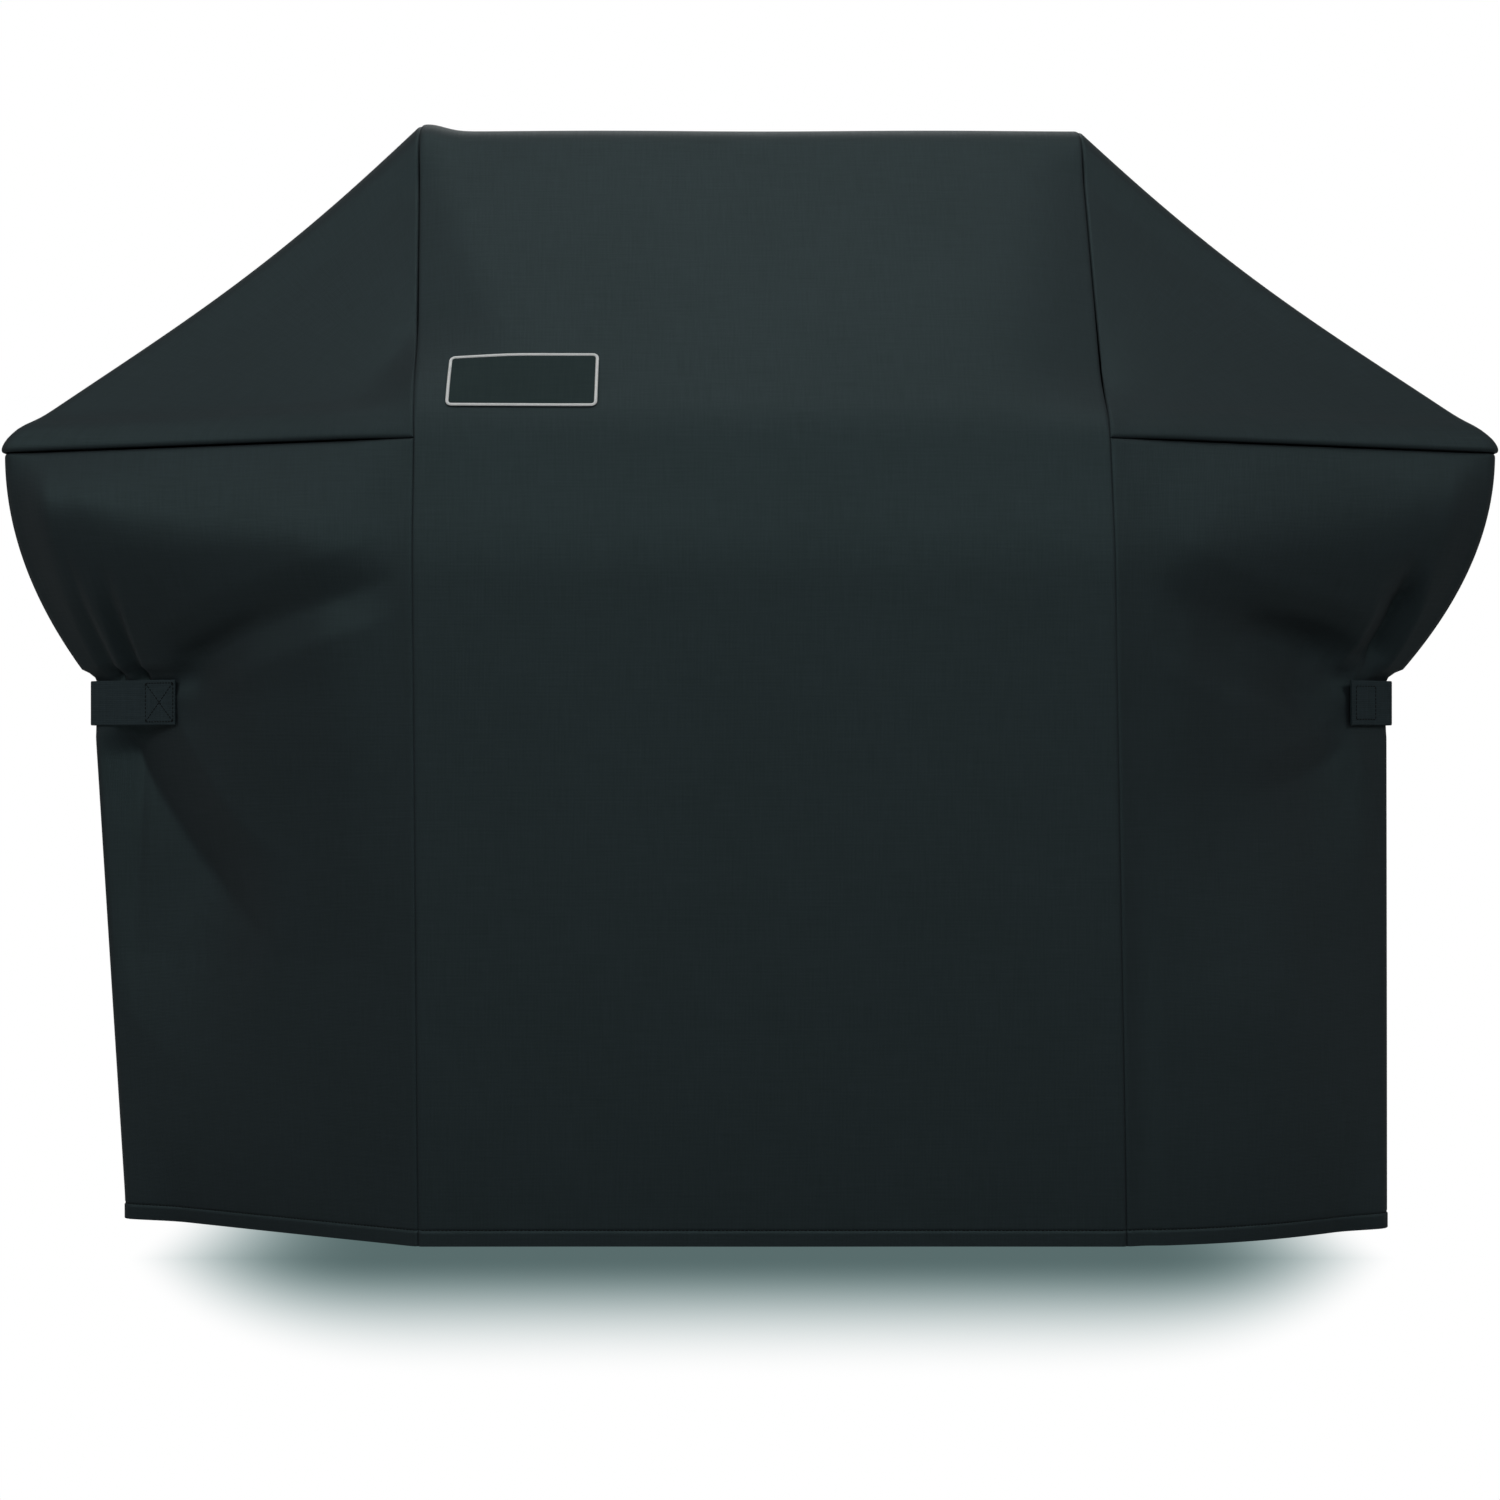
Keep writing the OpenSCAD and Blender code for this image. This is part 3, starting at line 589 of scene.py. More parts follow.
def pressed(across, z, reach):
    """How far the strap presses the cloth in behind it and at its edge, up to a reach from the corner."""
    under = ease((across - face_l + reach) / reach_fade)
    behind = ease((strap_hold_h + strap_hold_fade - np.abs(z - waist_h)) / strap_hold_fade)
    below_edge = ease((z - press_low_h) / press_low_fade) * ease((press_high_h - z) / press_high_fade)
    return -under * (strap_hold * behind + strap_press * below_edge)


def end_panel(side):
    """Grid of the cloth round a wing, with its swell, its folds and the press of the strap."""
    z = cloth_steps(shelf_h - seam_gap / 2, beside_hem, beside_seam)
    grid = wing_grid(side, z)
    width = np.interp(z, levels, wing_size(hem_w[side], waist_w[side], tip_w, strap_top_h, width_fullness))
    depth = np.interp(z, levels, wing_size(hem_d[side], waist_d, tip_d, waist_high, wing_fullness))
    level = np.broadcast_to(z[:, None], grid.shape[:2])
    across = face_l * (grid[..., 0] - grid[:, :1, 0]) / (width - grid[:, 0, 0])[:, None]
    back_share = grid[..., 1] / depth[:, None]
    on_front, on_back = (ease((way * back_share - face_from) / face_over) for way in (-1, 1))
    on_end = 1 - on_front - on_back
    sides = [(sewn_form, sewn_reach), (free_form, free_reach)]
    (front_form, front_reach), (back_form, back_reach) = sides if side < 0 else sides[::-1]
    faces = on_front * front_form(across, level) + on_back * back_form(across, level)
    ends = on_end * end_form(0.5 + back_share, level)
    press = sum(on * pressed(across, level, reach) for on, reach in
                ((on_front, front_reach), (on_back, back_reach), (on_end, sewn_reach)))
    free = ease(across / seam_free_l)
    inner = ease((face_l - across) / corner_free_l)
    out = free * (faces * inner + ends) + press
    leaned = across / face_l * ease((face_l - across) / lean_fade_l)
    out = out + free * leaned * hem_lean(level, wing_hem_lean)
    front_swell, back_swell = (swell(across, level, *swells[way]) for way in (side, -side))
    grid[..., 1] += on_back * back_swell - on_front * front_swell
    grid[..., 1] += (on_back - on_front) * belly(across, level, bellies[side])
    return grid + grid_normals(grid) * out[..., None]


def mirrored(grid, side):
    """A grid worked out to the right of the middle, put on its own side with its faces outwards."""
    return grid if side > 0 else (grid * [-1, 1, 1])[:, ::-1]


names = {-1: "left", 1: "right"}
end_grids, end_cloths = {}, {}
for side, name in names.items():
    end_grids[side] = sewn(end_panel(side), ["first", "last", "high"])
    piece = cloth_piece(f"{name}_end_cloth", mirrored(end_grids[side], side), cloth_t)
    end_cloths[side] = dress(piece, cloth, "cloth", f"{name}_end_panel")

# Shoulder panels
# One piece of the same cloth on each side. It stands up from the shelf seam, turns over the edge of the shelf
# and slopes up to the seam beside the lid, with a little sag between.
shoulder_rise, shoulder_r = 12 * mm, 22 * mm
shoulder_foot_h = 960 * mm
shoulder_sag = {-1: 23 * mm, 1: 22 * mm}
shoulder_l = 420 * mm
lid_turn_h = 1224 * mm
sag_low, seam_draw = 1.3, 0.22
overhang, overhang_up = 3.5 * mm, 12 * mm
lip_out, lip_up, lip_w, lip_fade_l = {-1: 4.5 * mm, 1: 3 * mm}, 32 * mm, 20 * mm, 90 * mm
lid_top_y = (-42 * mm, 87 * mm)
lid_stops = [front_s(shoulder_foot_h), front_s(lid_turn_h),
             *np.interp(lid_top_y, side_y[flat_top], side_s[flat_top]),
             back_s(lid_turn_h), back_s(shoulder_foot_h)]
lid_shares, turn_share = np.array([0, 5, 9, 13, 17, 22]) / 22, 4 / 22
col_shares = np.r_[side_shares * lid_shares[1], lid_shares[1] + arc_shares * turn_share,
                   lid_shares[2] + end_shares * turn_share, lid_shares[3] + arc_shares * turn_share,
                   1 - side_shares[::-1] * lid_shares[1]]
row_shares = cloth_steps(shoulder_l, beside_seam, beside_seam) / shoulder_l


def shoulder_panel(side):
    """Grid of a shoulder, each column from the shelf seam over the shelf's edge and up to the lid."""
    shelf = wing_grid(side, np.array([shelf_h]))[0]
    shelf[:, 2] = shelf_h + seam_gap / 2
    lid_s = np.interp(col_shares, lid_shares, lid_stops)
    lid = strip_point(strip_edge(side, np.interp(lid_s, side_s, side_z)), lid_s) * [side, 1, 1]
    lid[:, 0] += seam_gap / 2
    grid = np.zeros((len(row_shares), wing_cols, 3))
    for j in range(wing_cols):
        low, high = shelf[j], lid[j]
        edge = low + [0, 0, shoulder_rise]
        plane = unit((high - low) * [1, 1, 0])
        reach = (high - low) @ plane
        line = rounded_path([(0, low[2], 0), (0, edge[2], shoulder_r), (reach, high[2], 0)], 10)
        lengths = run_of(line)
        at = row_shares * lengths[-1]
        grid[:, j] = low * [1, 1, 0] + plane * np.interp(at, lengths, line[:, 0])[:, None]
        sag = shoulder_sag[side] * np.sin(math.pi * col_shares[j]) * np.sin(math.pi * row_shares ** sag_low)
        grid[:, j, 2] = np.interp(at, lengths, line[:, 1]) - sag
    for ends, stops in ((near_front, (front_s(shelf_h), lid_stops[0])),
                        (wing_cols - 1 - near_front, (back_s(shelf_h), lid_stops[-1]))):
        s = stops[0] + (stops[1] - stops[0]) * row_shares
        seam = strip_point(strip_edge(side, np.interp(s, side_s, side_z)), s) * [side, 1, 1]
        seam[:, 0] += seam_gap / 2
        seam[:, 2] += seam_gap / 2 * (1 - row_shares)
        drawn = 1 - ease(side_shares / seam_draw)
        grid[:, ends] += (seam - grid[:, ends[0]])[:, None] * drawn[None, :, None]
    up, along = runs(grid, 0), runs(grid, 1)
    middle = ease(along / lip_fade_l) * ease((along[:, -1:] - along) / lip_fade_l)
    out = overhang * bell(up, 0, overhang_up) + lip_out[side] * bell(up, lip_up, lip_w)
    return grid + grid_normals(grid) * (out * middle)[..., None]


for side, name in names.items():
    grid = sewn(shoulder_panel(side), ["first", "last", "low", "high"], hem=False)
    piece = cloth_piece(f"{name}_shoulder_cloth", mirrored(grid, side), cloth_t)
    dress(piece, cloth, "cloth", f"{name}_shoulder_panel")

# Hem facings
# The hem is turned up inside and sewn down with one line of stitches, a little below the top of the turn.
# Each facing is the turned-up cloth close behind its panel. The stitches show as short threads in a
# shallow groove.
layer_gap = 0.3 * mm
hem_t = 1.5 * mm
hem_count = np.count_nonzero(beside_hem <= hem_h + 0.01 * mm)
stitch_row = int(np.argmin(np.abs(beside_hem - hem_stitch_h)))
facing_trim = 4
thread_r, stitch_l, stitch_pitch = 0.65 * mm, 3.6 * mm, 4.2 * mm
thread_dark, thread_light = "#0A0D0E", "#131617"
thread_ply, thread_rough, thread_shine = 0.6 * mm, 0.85, 0.2
fibre_change, fibre_bump, fibre_h = 0.1, 0.4, 0.1 * mm

bpy.ops.mesh.primitive_uv_sphere_add(segments=6, ring_count=4, radius=1)
one_stitch = bpy.context.object
stitch_shape = np.array([v.co for v in one_stitch.data.vertices]) * [thread_r, thread_r, stitch_l / 2]
stitch_faces = [list(p.vertices) for p in one_stitch.data.polygons]
bpy.data.objects.remove(one_stitch)


def fibrous(name, dark, light, size, rough):
    """Fibres or nylon seen close to: colour, roughness and surface vary over a size on the piece."""
    material, tree, shader = new_material(name)
    place = add(tree, "ShaderNodeTexCoord", {}).outputs["Object"]
    mottle = add(tree, "ShaderNodeTexNoise", {"Vector": place, "Scale": 1 / size, "Detail": 3}).outputs["Fac"]
    colour = add(tree, "ShaderNodeMix", {0: mottle, 6: linear(dark), 7: linear(light)}, data_type="RGBA")
    tree.links.new(colour.outputs[2], shader.inputs["Base Color"])
    rough_map = add(tree, "ShaderNodeMapRange", {"Value": mottle, "To Min": rough + fibre_change,
                                                 "To Max": rough - fibre_change})
    tree.links.new(rough_map.outputs[0], shader.inputs["Roughness"])
    relief = add(tree, "ShaderNodeBump", {"Height": mottle, "Strength": fibre_bump, "Distance": fibre_h})
    tree.links.new(relief.outputs[0], shader.inputs["Normal"])
    return material, shader


# Polyester sewing thread: nearly black and matt, mottled by its plies.
thread, thread_shader = fibrous("sewing_thread", thread_dark, thread_light, thread_ply, thread_rough)
thread_shader.inputs["Specular IOR Level"].default_value = thread_shine


def stitches(name, lines):
    """Lines of stitches as one piece: each line is its points and the way out of the cloth at each."""
    points, faces = [], []
    for line, out in lines:
        lengths = run_of(line)
        count = int(lengths[-1] / stitch_pitch)
        at = (np.arange(count) + 0.5) * lengths[-1] / count
        before, after = (np.stack([np.interp(at + d, lengths, line[:, k]) for k in range(3)], -1)
                         for d in (-stitch_l / 2, stitch_l / 2))
        course = unit(after - before)
        rise = unit(np.stack([np.interp(at, lengths, out[:, k]) for k in range(3)], -1))
        beside = np.cross(course, rise)
        for k in range(count):
            faces += [[v + len(stitch_shape) * len(points) for v in face] for face in stitch_faces]
            turn = np.array([rise[k], beside[k], course[k]])
            points.append((before[k] + after[k]) / 2 + stitch_shape @ turn)
    mesh = bpy.data.meshes.new(name)
    mesh.from_pydata(np.concatenate(points).tolist(), [], faces)
    mesh.shade_smooth()
    piece = bpy.data.objects.new(name, mesh)
    bpy.context.collection.objects.link(piece)
    piece.data.materials.append(thread)
    return piece


hems = {"front": (front_grid, front_panel), "back": (back_grid, back_panel),
        "left": (mirrored(end_grids[-1], -1), end_cloths[-1]), "right": (end_grids[1], end_cloths[1])}
for name, (grid, panel) in hems.items():
    facing = grid[:hem_count, facing_trim:-facing_trim]
    piece = cloth_piece(f"{name}_hem_facing", facing, hem_t, -cloth_t - layer_gap)
    dress(piece, cloth, "cloth", f"{name}_hem")
    normals = grid_normals(grid)[stitch_row, facing_trim:-facing_trim]
    line = stitches(f"{name}_hem_stitches", [(grid[stitch_row, facing_trim:-facing_trim], normals)])
    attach(line, "cover")

# Binding tapes
# Narrow woven tape covers the raw edges inside each seam: beside the four upright seams of the strip,
# below each shelf seam, and along the seam across the top. None of it shows from outside.
tape_t, tape_pitch, tape_rough, tape_bump = 0.8 * mm, 1 * mm, 0.75, 0.3
tape_dark, tape_light = "#15191A", "#22282A"
tape_skip = 3
on_tape = slice(tape_skip, len(beside_seam))
off_tape = slice(-len(beside_seam), -tape_skip)
up_tape = slice(len(beside_hem) - 1, -tape_skip)
round_tape = slice(tape_skip, -tape_skip)
between_tapes = slice(len(beside_seam), -len(beside_seam))

# Polyester binding tape: a close dark weave with no shine of its own.
tape, _ = woven("binding_tape", tape_dark, tape_light, tape_pitch, tape_rough, tape_bump)
tapes = {
    "front_left_binding": (front_grid[up_tape, on_tape], front_panel),
    "front_right_binding": (front_grid[up_tape, off_tape], front_panel),
    "back_right_binding": (back_grid[up_tape, on_tape], back_panel),
    "back_left_binding": (back_grid[up_tape, off_tape], back_panel),
    "left_shelf_binding": (mirrored(end_grids[-1], -1)[off_tape, round_tape], end_cloths[-1]),
    "right_shelf_binding": (end_grids[1][off_tape, round_tape], end_cloths[1]),
    "top_binding": (front_grid[off_tape, between_tapes], front_panel)}
for name, (grid, panel) in tapes.items():
    piece = dress(cloth_piece(f"{name}_tape", grid, tape_t, -cloth_t - layer_gap), tape, "binding_tape", name)

# Straps
# A length of ribbed polypropylene webbing gathers each side. One end is sewn to the end panel with a box
# and a cross; the rest goes round the end of the wing and closes with hook and loop on the other face.
strap_w, strap_t = 50 * mm, 2 * mm
anchor_l, tail_l = 132 * mm, 70 * mm
bend_r, bend_reach = 14 * mm, 14 * mm
tail_start = 20 * mm
tip_lift, tip_l = 1.2 * mm, 7 * mm
band_step, tail_cols, cut_gap = 2.5 * mm, 40, 0.1 * mm
webbing_dark, webbing_light, webbing_tint = "#161E22", "#2C373C", "#D8FBFF"
webbing_pitch, webbing_rough, webbing_bump = 2.2 * mm, 0.7, 0.9
webbing_rows = np.array([0, 0.4, 1, 2, 4, 8, 15, 25, 35, 42, 46, 48, 49, 49.6, 50]) * mm
selvedge, selvedge_w = 0.5 * mm, 1.2 * mm
sewn_box_w, sewn_inset = 42 * mm, 3 * mm

# Polypropylene webbing: coarse ribs that stand out more than the cloth's weave, with a faint cool shine.
webbing, webbing_shader = woven("webbing", webbing_dark, webbing_light, webbing_pitch, webbing_rough,
                                webbing_bump)
webbing_shader.inputs["Specular Tint"].default_value = linear(webbing_tint)
joint_at = {j["name"]: np.array(j["pos_m"]) for j in frame["joints"]}


def along(path, lengths, at):
    return np.stack([np.interp(at, lengths, path[:, k]) for k in (0, 1)], -1)


def webbing_grid(path, lengths, at, flip):
    """Grid of webbing along a plan, with its two long edges a little thinner."""
    plan = along(path, lengths, at)
    rows = waist_h - strap_w / 2 + webbing_rows
    grid = np.concatenate([np.broadcast_to(plan, (len(rows),) + plan.shape),
                           np.broadcast_to(rows[:, None, None], (len(rows), len(plan), 1))], axis=2)
    edge = np.minimum(webbing_rows, strap_w - webbing_rows)
    thin = -selvedge * np.clip(1 - edge / selvedge_w, 0, 1) ** 2
    return ((grid + grid_normals(grid) * thin[:, None, None]) * flip)[:, ::-1]


strap_lines = {}
for side, name in names.items():
    flip = np.array([side, -side, 1])
    sewn_at = (joint_at[f"{name}_strap_swing"] * flip)[:2]
    free_at = (joint_at[f"{name}_tail_peel"] * flip)[:2]
    course = unit(np.array([waist_w[side] - side * strip_edge(side, waist_h), back_y - waist_d / 2]))
    tail_course = course * [-1, 1]
    path = rounded_path([(*(sewn_at - course * anchor_l), 0), (*sewn_at, bend_r), (*free_at, bend_r),
                         (*(free_at + tail_course * tail_l), 0)])
    lengths = run_of(path)
    cut = np.interp(free_at[1] - tail_start, path[:, 1], lengths)
    steps = np.arange(0, cut, band_step)
    grid = webbing_grid(path, lengths, np.r_[steps, cut], flip)
    band = dress(cloth_piece(f"{name}_strap", grid, strap_t, strap_t / 2), webbing, "webbing",
                 f"{name}_strap_anchor", f"{name}_strap_band", body=None)
    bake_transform(band)
    steps = np.linspace(cut + cut_gap, lengths[-1], tail_cols)
    grid = webbing_grid(path, lengths, steps, flip)
    lift = tip_lift * ease((steps - lengths[-1] + tip_l) / tip_l)[::-1]
    grid = grid + grid_normals(grid) * lift[:, None]
    tail = dress(cloth_piece(f"{name}_strap_end", grid, strap_t, strap_t / 2), webbing, "webbing",
                 f"{name}_strap_tail", body=None)
    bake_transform(tail)
    strap_lines[side] = (sewn_at, course, free_at, tail_course, flip)

# Strap stitching
# Lines of dark thread. The sewn end is held by a box with a cross in it, and on the free end a rectangle
# holds the hook patch underneath.
patch_l, patch_h, patch_t, patch_setback = 38 * mm, 44 * mm, 1.2 * mm, 26 * mm
loop_out, hook_out, tail_out = 0.3 * mm, 1.8 * mm, 4.3 * mm
line_points = 12
box_pairs = [(0, 1), (1, 2), (2, 3), (3, 0)]
cross_pairs = [(0, 2), (1, 3)]


def strap_stitches(name, ends, course, half_h, pairs, flip):
    """Stitches between the corners of a rectangle on the strap, between two places along its course."""
    out = np.array([course[1], -course[0]])
    corners = [np.array([*(ends[k] + out * strap_t / 2), waist_h + h]) * flip
               for k, h in ((0, -half_h), (1, -half_h), (1, half_h), (0, half_h))]
    rise = np.tile(np.array([*out, 0]) * flip, (line_points, 1))
    return stitches(name, [(np.linspace(corners[i], corners[j], line_points), rise) for i, j in pairs])


for side, name in names.items():
    sewn_at, course, free_at, tail_course, flip = strap_lines[side]
    ends = [sewn_at - course * (anchor_l - s) for s in (sewn_inset, sewn_inset + sewn_box_w)]
    box_x = strap_stitches(f"{name}_strap_box", ends, course, strap_w / 2 - sewn_inset,
                           box_pairs + cross_pairs, flip)
    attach(box_x, "cover")
    ends = [free_at + tail_course * (patch_setback + s) for s in (sewn_inset, patch_l - sewn_inset)]
    square = strap_stitches(f"{name}_strap_end_stitches", ends, tail_course, patch_h / 2 - sewn_inset,
                            box_pairs, flip)
    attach(square, f"{name}_tail")

# Hook and loop patches
# Woven nylon patches sewn under the free end and on the cloth behind it: one with rows of small moulded
# hooks, the other with a brushed pile of loops that the hooks catch in.
hook_pitch, pile_pitch = 2 * mm, 2.6 * mm
base_t, base_bevel, patch_margin = 0.5 * mm, 0.15 * mm, 1 * mm
hook_r, hook_tip_r, hook_sunk = 0.42 * mm, 0.2 * mm, 0.05 * mm
loop_r, loop_thread_r, tuft_r, loop_lift = 0.45 * mm, 0.1 * mm, 0.8 * mm, 0.02 * mm
tuft_turns, tuft_spread = (0.3, 1.4, 2.5), 2.1
hook_dark, hook_light, hook_grain, hook_rough = "#101213", "#191B1C", 1.5 * mm, 0.45
pile_dark, pile_light, pile_grain, pile_rough = "#151919", "#222627", 0.8 * mm, 0.85
pile_sheen = 0.2

# Moulded nylon has a dull shine. The brushed pile is matt, with a faint bloom of loose fibres.
hook_nylon, _ = fibrous("hook_nylon", hook_dark, hook_light, hook_grain, hook_rough)
loop_pile, pile_shader = fibrous("loop_pile", pile_dark, pile_light, pile_grain, pile_rough)
pile_shader.inputs["Sheen Weight"].default_value = pile_sheen


def base_plate(name, height):
    """The woven ground of a patch, lying flat with its middle at a height."""
    bpy.ops.object.select_all(action="DESELECT")
    bpy.ops.mesh.primitive_cube_add(size=1, location=(0, 0, height), scale=(patch_l, patch_h, base_t))
    plate = bpy.context.object
    plate.name = name
    bpy.ops.object.transform_apply(location=True, rotation=False, scale=True)
    bpy.ops.object.modifier_add(type="BEVEL")
    plate.modifiers[-1].width = base_bevel
    bpy.ops.object.modifier_apply(modifier=plate.modifiers[-1].name)
    return plate


def spread(piece, pitch):
    """Repeats a piece in rows and columns over the face of a patch."""
    counts = [int((size - 2 * patch_margin) / pitch) + 1 for size in (patch_l, patch_h)]
    piece.location = (-(counts[0] - 1) * pitch / 2, -(counts[1] - 1) * pitch / 2, 0)
    bpy.ops.object.transform_apply(location=True, rotation=True, scale=True)
    for axis, count in enumerate(counts):
        bpy.ops.object.modifier_add(type="ARRAY")
        rows = piece.modifiers[-1]
        rows.count = count
        rows.use_relative_offset = False
        rows.use_constant_offset = True
        rows.constant_offset_displace = [pitch if k == axis else 0 for k in range(3)]
        bpy.ops.object.modifier_apply(modifier=rows.name)


def joined(plate, piece):
    plate.select_set(True)
    piece.select_set(True)
    bpy.context.view_layer.objects.active = plate
    bpy.ops.object.join()
    bpy.ops.object.shade_smooth_by_angle(angle=math.radians(40))
    return bpy.context.object


def put_down(piece, middle, course, rise, flip):
    """Moves a flat patch from the origin to its place: its length on a course, its face out on a rise."""
    x, z = np.array([*course, 0]) * flip, np.array([*rise, 0]) * flip
    turn = np.array([x, np.cross(z, x), z])
    points = np.array([v.co for v in piece.data.vertices]) @ turn + np.array([*middle, waist_h]) * flip
    piece.data.vertices.foreach_set("co", points.astype(np.float32).ravel())
    piece.data.update()


hook_plate = base_plate("hook_patch", patch_t / 2 - base_t / 2)
bpy.ops.object.select_all(action="DESELECT")
bpy.ops.mesh.primitive_cone_add(vertices=6, radius1=hook_r, radius2=hook_tip_r,
                                depth=patch_t - base_t + hook_sunk, location=(0, 0, (hook_sunk - base_t) / 2))
bpy.ops.object.transform_apply(location=True, rotation=True, scale=True)
hooks = bpy.context.object
spread(hooks, hook_pitch)
hook_patch = joined(hook_plate, hooks)

loop_plate = base_plate("loop_patch", base_t / 2 - patch_t / 2)
bpy.ops.object.select_all(action="DESELECT")
loops = []
for k, turn in enumerate(tuft_turns):
    place = (tuft_r * math.cos(tuft_spread * k), tuft_r * math.sin(tuft_spread * k), loop_lift)
    bpy.ops.mesh.primitive_torus_add(major_segments=9, minor_segments=4, major_radius=loop_r,
                                     minor_radius=loop_thread_r, location=place,
                                     rotation=(math.radians(90), 0, turn))
    loops.append(bpy.context.object)
for piece in loops:
    piece.select_set(True)
bpy.ops.object.join()
bpy.ops.object.transform_apply(location=True, rotation=True, scale=True)
tuft = bpy.context.object
spread(tuft, pile_pitch)
loop_patch = joined(loop_plate, tuft)

for side, name in names.items():
    sewn_at, course, free_at, tail_course, flip = strap_lines[side]
    rise = np.array([tail_course[1], -tail_course[0]])
    rise = rise if rise[0] > 0 else -rise
    middle = free_at + tail_course * (patch_setback + patch_l / 2)
    for made, out, body, node, material in (
            (hook_patch, hook_out, f"{name}_tail", "hook_patch", hook_nylon),
            (loop_patch, loop_out, "cover", "loop_patch", loop_pile)):
        piece = bpy.data.objects.new(f"{name}_{node}_pile", made.data.copy())
        bpy.context.collection.objects.link(piece)
        put_down(piece, middle + rise * (out + patch_t / 2 - tail_out), tail_course, rise, flip)
        dress(piece, material, node.replace("patch", "tape"), f"{name}_{node}", body=body)
bpy.data.objects.remove(hook_patch)
bpy.data.objects.remove(loop_patch)

# Label patch
# A bare woven patch on the slope, left of the middle. It is sewn down under a raised border of white thread
# with round corners.
label_w, label_h, label_t = 165 * mm, 75 * mm, 1 * mm
label_x, label_mid_h = -247 * mm, 931 * mm
label_r, label_step, slope_step = 9 * mm, 7 * mm, 0.5 * mm
border_w, border_t, border_inset, border_r = 3.4 * mm, 1.1 * mm, 2.2 * mm, 5 * mm
border_back, border_rows, border_cols = 0.5 * mm, 9, 240
label_dark, label_light = "#12181A", "#1A2123"
label_pitch, label_rough, label_bump = 1.1 * mm, 0.7, 0.3
border_dark, border_light = "#E4E8E7", "#FAFCFB"
border_pitch, border_rough, border_bump = 0.9 * mm, 0.6, 0.8


def to_corner(d, half, r):
    """How far a place is into the square of a round corner, from 0 to 1, and the way it lies."""
    return np.clip((np.abs(d) - (half - r)) / r, 0, 1), np.sign(d)


def on_label(dx, ds, out):
    """Point over the slope at a place across and up from the middle of the label."""
    x, s = label_x + dx, front_s(label_mid_h) + ds
    flat = strip_point(x, s)
    beside, above = strip_point(x + slope_step, s) - flat, strip_point(x, s + slope_step) - flat
    return flat + unit(np.cross(beside, above)) * np.asarray(out)[..., None]


fine_corner = np.array([0, 0.6, 1.5, 3, 5, 7, 9]) * mm
dx = cloth_steps(label_w, fine_corner, fine_corner, label_step)[None, :] - label_w / 2
ds = cloth_steps(label_h, fine_corner, fine_corner, label_step)[:, None] - label_h / 2
dx, ds = np.broadcast_arrays(dx, ds)
u, way_x = to_corner(dx, label_w / 2, label_r)
v, way_s = to_corner(ds, label_h / 2, label_r)
in_corner = (u > 0) & (v > 0)
round_x = way_x * (label_w / 2 - label_r + label_r * u * np.sqrt(1 - v ** 2 / 2))
round_s = way_s * (label_h / 2 - label_r + label_r * v * np.sqrt(1 - u ** 2 / 2))
dx, ds = np.where(in_corner, round_x, dx), np.where(in_corner, round_s, ds)
grid = on_label(dx, ds, np.full(dx.shape, layer_gap))

# Label cloth: a finer and darker weave than the cover's, with the same tint in its shine.
label_cloth, label_shader = woven("label_cloth", label_dark, label_light, label_pitch, label_rough,
                                  label_bump)
label_shader.inputs["Specular Tint"].default_value = linear(coating_tint)
label = dress(cloth_piece("label_cloth", grid, label_t, label_t), label_cloth, "label", "label_patch")

half_w, half_h = label_w / 2 - border_inset, label_h / 2 - border_inset
loop = rounded_path([(0, -half_h, 0), (half_w, -half_h, border_r), (half_w, half_h, border_r),
                     (-half_w, half_h, border_r), (-half_w, -half_h, border_r), (0, -half_h, 0)], 12)
loop_run = run_of(loop)
at = np.linspace(0, loop_run[-1], border_cols)
line = along(loop, loop_run, at)
inwards = np.gradient(line, axis=0)
inwards[0] = inwards[-1] = inwards[0] + inwards[-1]
inwards = unit(np.c_[-inwards[:, 1], inwards[:, 0]])
width = np.linspace(-1, 1, border_rows)[:, None]
height = border_t * np.sqrt(np.maximum(1 - width ** 2, 0)) + label_t
edge = line[None] + inwards[None] * (width * border_w / 2)[..., None]
grid = on_label(edge[..., 0], edge[..., 1], np.broadcast_to(layer_gap + height, edge.shape[:2]))

# White embroidery thread, laid close: a soft shine over fine ridges.
border_thread, _ = woven("border_thread", border_dark, border_light, border_pitch, border_rough, border_bump)
border = cloth_piece("label_border", grid, border_back)
border.data.materials.append(border_thread)
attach(border, "cover")

# Stage
# A plain pale floor and a white surround, lit by large soft lamps above, in front, at both sides and behind.
# The camera sees the floor white, with a painted shadow, soft and slightly green, round the foot of the
# cover.
floor_r, floor_drop = 12, 0.4 * mm
floor_colour = "#A0A0A0"
shadow_mid, shadow_half, shadow_reach = (0.012, 0, 0), (0.35, 0.40), (0.314, 0.53)
shadow_taper, shadow_side, shadow_floor, shadow_red = 0.35, 2.1, 0.15, 1.22
bpy.ops.mesh.primitive_circle_add(vertices=64, radius=floor_r, fill_type="NGON", location=(0, 0, -floor_drop))
floor = bpy.context.object
floor.name = "floor"
floor.select_set(False)
ground, tree, shader = new_material("pale_floor")
shader.inputs["Base Color"].default_value = linear(floor_colour)
shader.inputs["Roughness"].default_value = 0.9
rays = tree.nodes.new("ShaderNodeLightPath").outputs
place = add(tree, "ShaderNodeTexCoord", {}).outputs["Object"]
place = add(tree, "ShaderNodeVectorMath", {0: place, 1: shadow_mid}, operation="SUBTRACT").outputs[0]
place = add(tree, "ShaderNodeVectorMath", {0: place}, operation="ABSOLUTE").outputs[0]
place = add(tree, "ShaderNodeSeparateXYZ", {0: place}).outputs
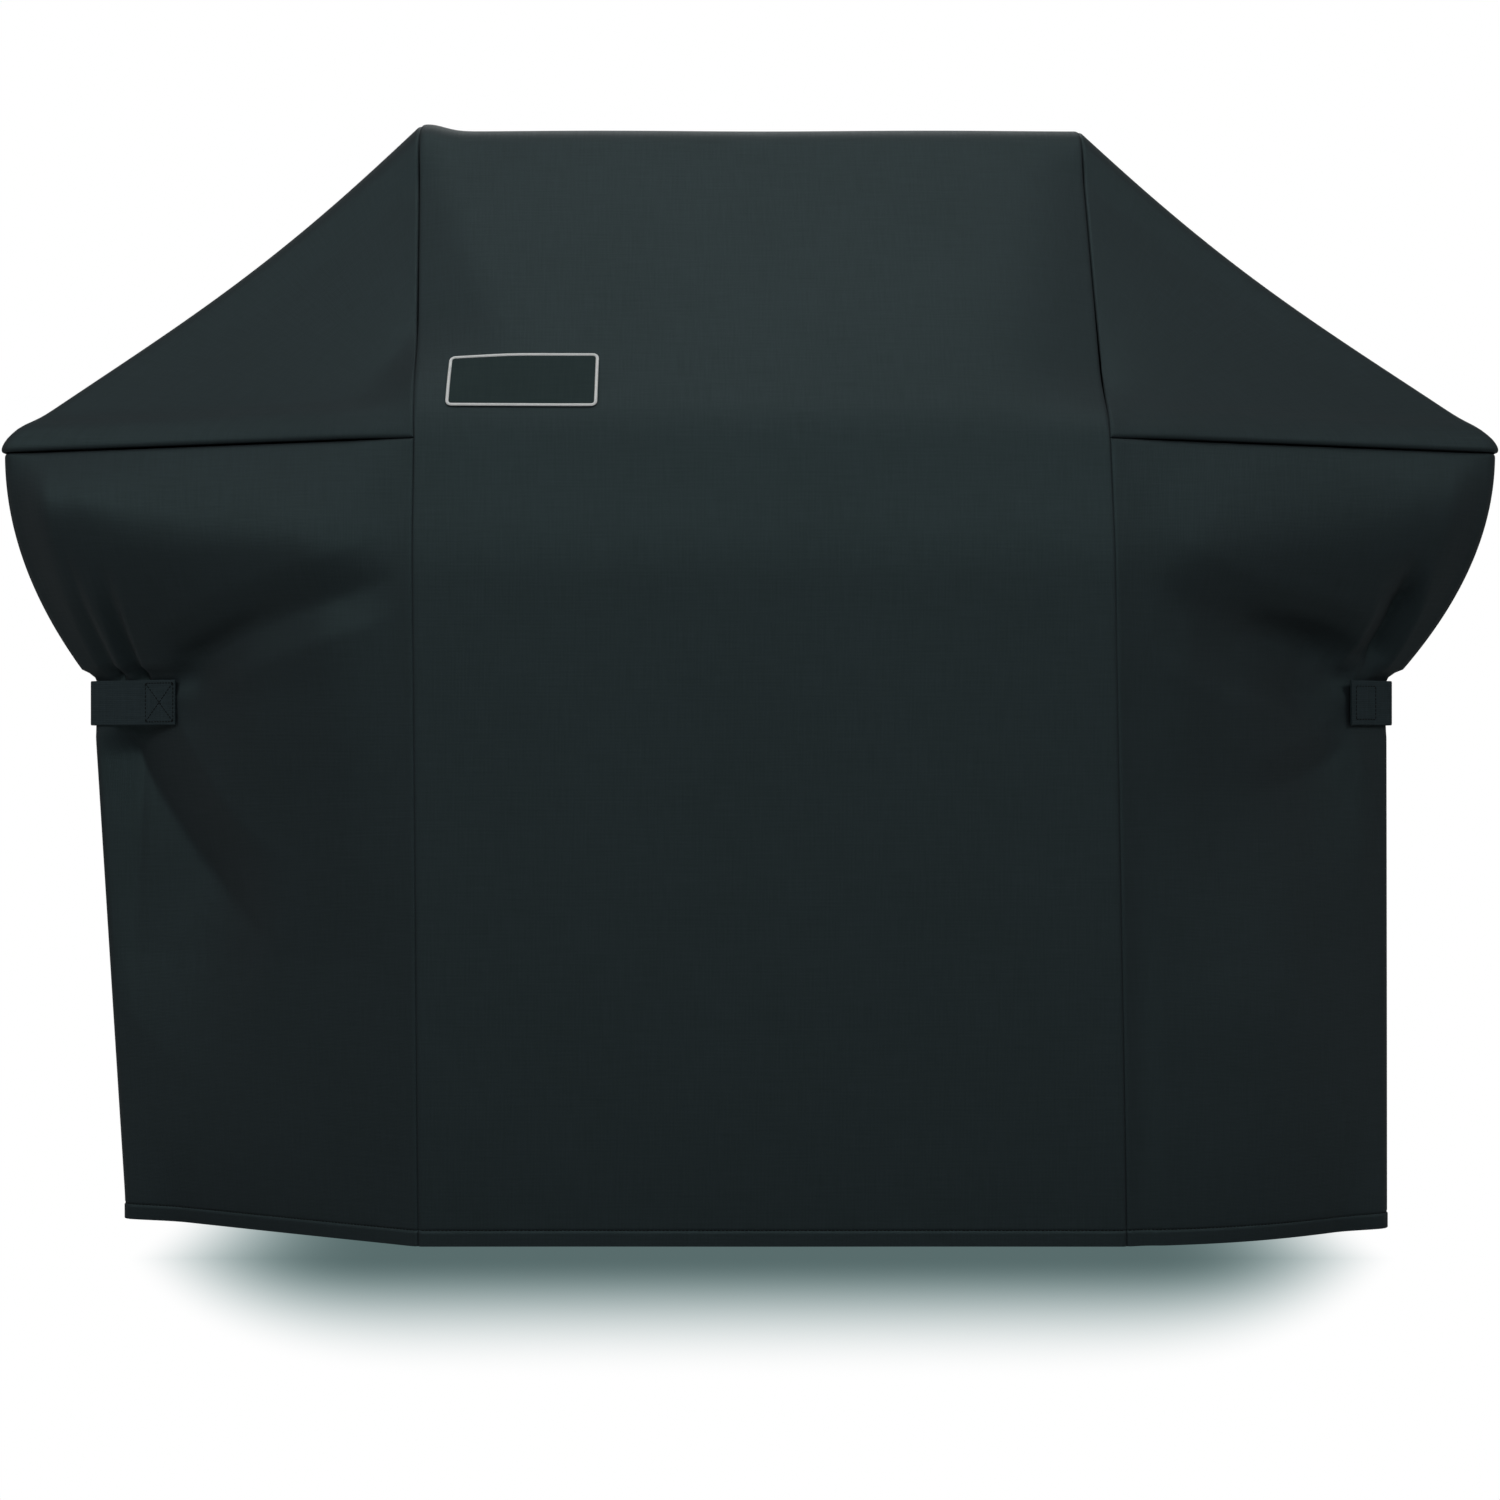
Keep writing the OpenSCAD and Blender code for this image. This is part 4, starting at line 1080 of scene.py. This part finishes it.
ahead = add(tree, "ShaderNodeMath", {0: place["Y"], 1: shadow_half[1]}, operation="SUBTRACT").outputs[0]
ahead = add(tree, "ShaderNodeMath", {0: ahead, 1: 0}, operation="MAXIMUM").outputs[0]
aside = add(tree, "ShaderNodeMath", {0: ahead, 1: shadow_taper, 2: place["X"]},
            operation="MULTIPLY_ADD").outputs[0]
aside = add(tree, "ShaderNodeMapRange", {"Value": aside, "From Min": shadow_half[0],
                                         "From Max": shadow_half[0] + shadow_reach[0]}).outputs[0]
aside = add(tree, "ShaderNodeMath", {0: aside, 1: shadow_side}, operation="POWER").outputs[0]
ahead = add(tree, "ShaderNodeMath", {0: ahead, 1: shadow_reach[1]}, operation="DIVIDE").outputs[0]
away = add(tree, "ShaderNodeCombineXYZ", {"X": aside, "Y": ahead}).outputs[0]
away = add(tree, "ShaderNodeVectorMath", {0: away}, operation="LENGTH").outputs["Value"]
# Painted shadow: the floor's glow is dimmer and slightly green near the foot of the cover, set by place
# alone.
fade = add(tree, "ShaderNodeMapRange", {"Value": away, "To Min": shadow_floor},
           interpolation_type="SMOOTHSTEP").outputs[0]
red = add(tree, "ShaderNodeMath", {0: fade, 1: shadow_red}, operation="POWER").outputs[0]
painted_shadow_colour = add(tree, "ShaderNodeCombineColor", {"Red": red, "Green": fade, "Blue": fade}).outputs[0]
floor_with_painted_shadow = add(tree, "ShaderNodeEmission", {"Color": painted_shadow_colour}).outputs[0]
mixed = add(tree, "ShaderNodeMixShader", {0: rays["Is Camera Ray"], 1: shader.outputs[0], 2: floor_with_painted_shadow}).outputs[0]
tree.links.new(mixed, tree.nodes["Material Output"].inputs["Surface"])
floor.data.materials.append(ground)

world = bpy.data.worlds.new("studio")
bpy.context.scene.world = world
world.use_nodes = True
tree = world.node_tree
rays = tree.nodes.new("ShaderNodeLightPath").outputs
surround = 0.13
seen = add(tree, "ShaderNodeMath", {0: rays["Is Camera Ray"], 1: rays["Is Transmission Ray"]},
           operation="MAXIMUM").outputs[0]
strength = add(tree, "ShaderNodeMapRange", {"Value": seen, "To Min": surround, "To Max": 1.0}).outputs[0]
tree.links.new(strength, tree.nodes["Background"].inputs["Strength"])
tree.nodes["Background"].inputs["Color"].default_value = (1, 1, 1, 1)


def lamp(name, place, target, size, power):
    """Large soft lamp at a place, turned to a target."""
    data = bpy.data.lights.new(name, "AREA")
    data.shape = "RECTANGLE"
    data.size, data.size_y = size
    data.energy = power
    made = bpy.data.objects.new(name, data)
    made.location = place
    direction = np.array(target) - np.array(place)
    pitch = math.atan2(math.hypot(direction[0], direction[1]), -direction[2])
    made.rotation_euler = (pitch, 0, math.atan2(-direction[0], direction[1]))
    bpy.context.collection.objects.link(made)


lamp("overhead", (0, -0.9, 4.3), (0, -0.2, 0.9), (2.4, 1.4), 26.5)
lamp("front", (0, -3.6, 2.2), (0, -0.2, 0.7), (2.4, 1.4), 23)
lamp("left", (-3.2, -2.2, 2.8), (0, -0.2, 0.7), (1.4, 1.4), 23.5)
lamp("right", (3.2, -2.2, 2.8), (0, -0.2, 0.7), (1.4, 1.4), 17)
lamp("back", (0, 2.6, 3.7), (0, 0.2, 0.8), (2.4, 1.4), 22)

bpy.context.scene.view_settings.view_transform = "Standard"
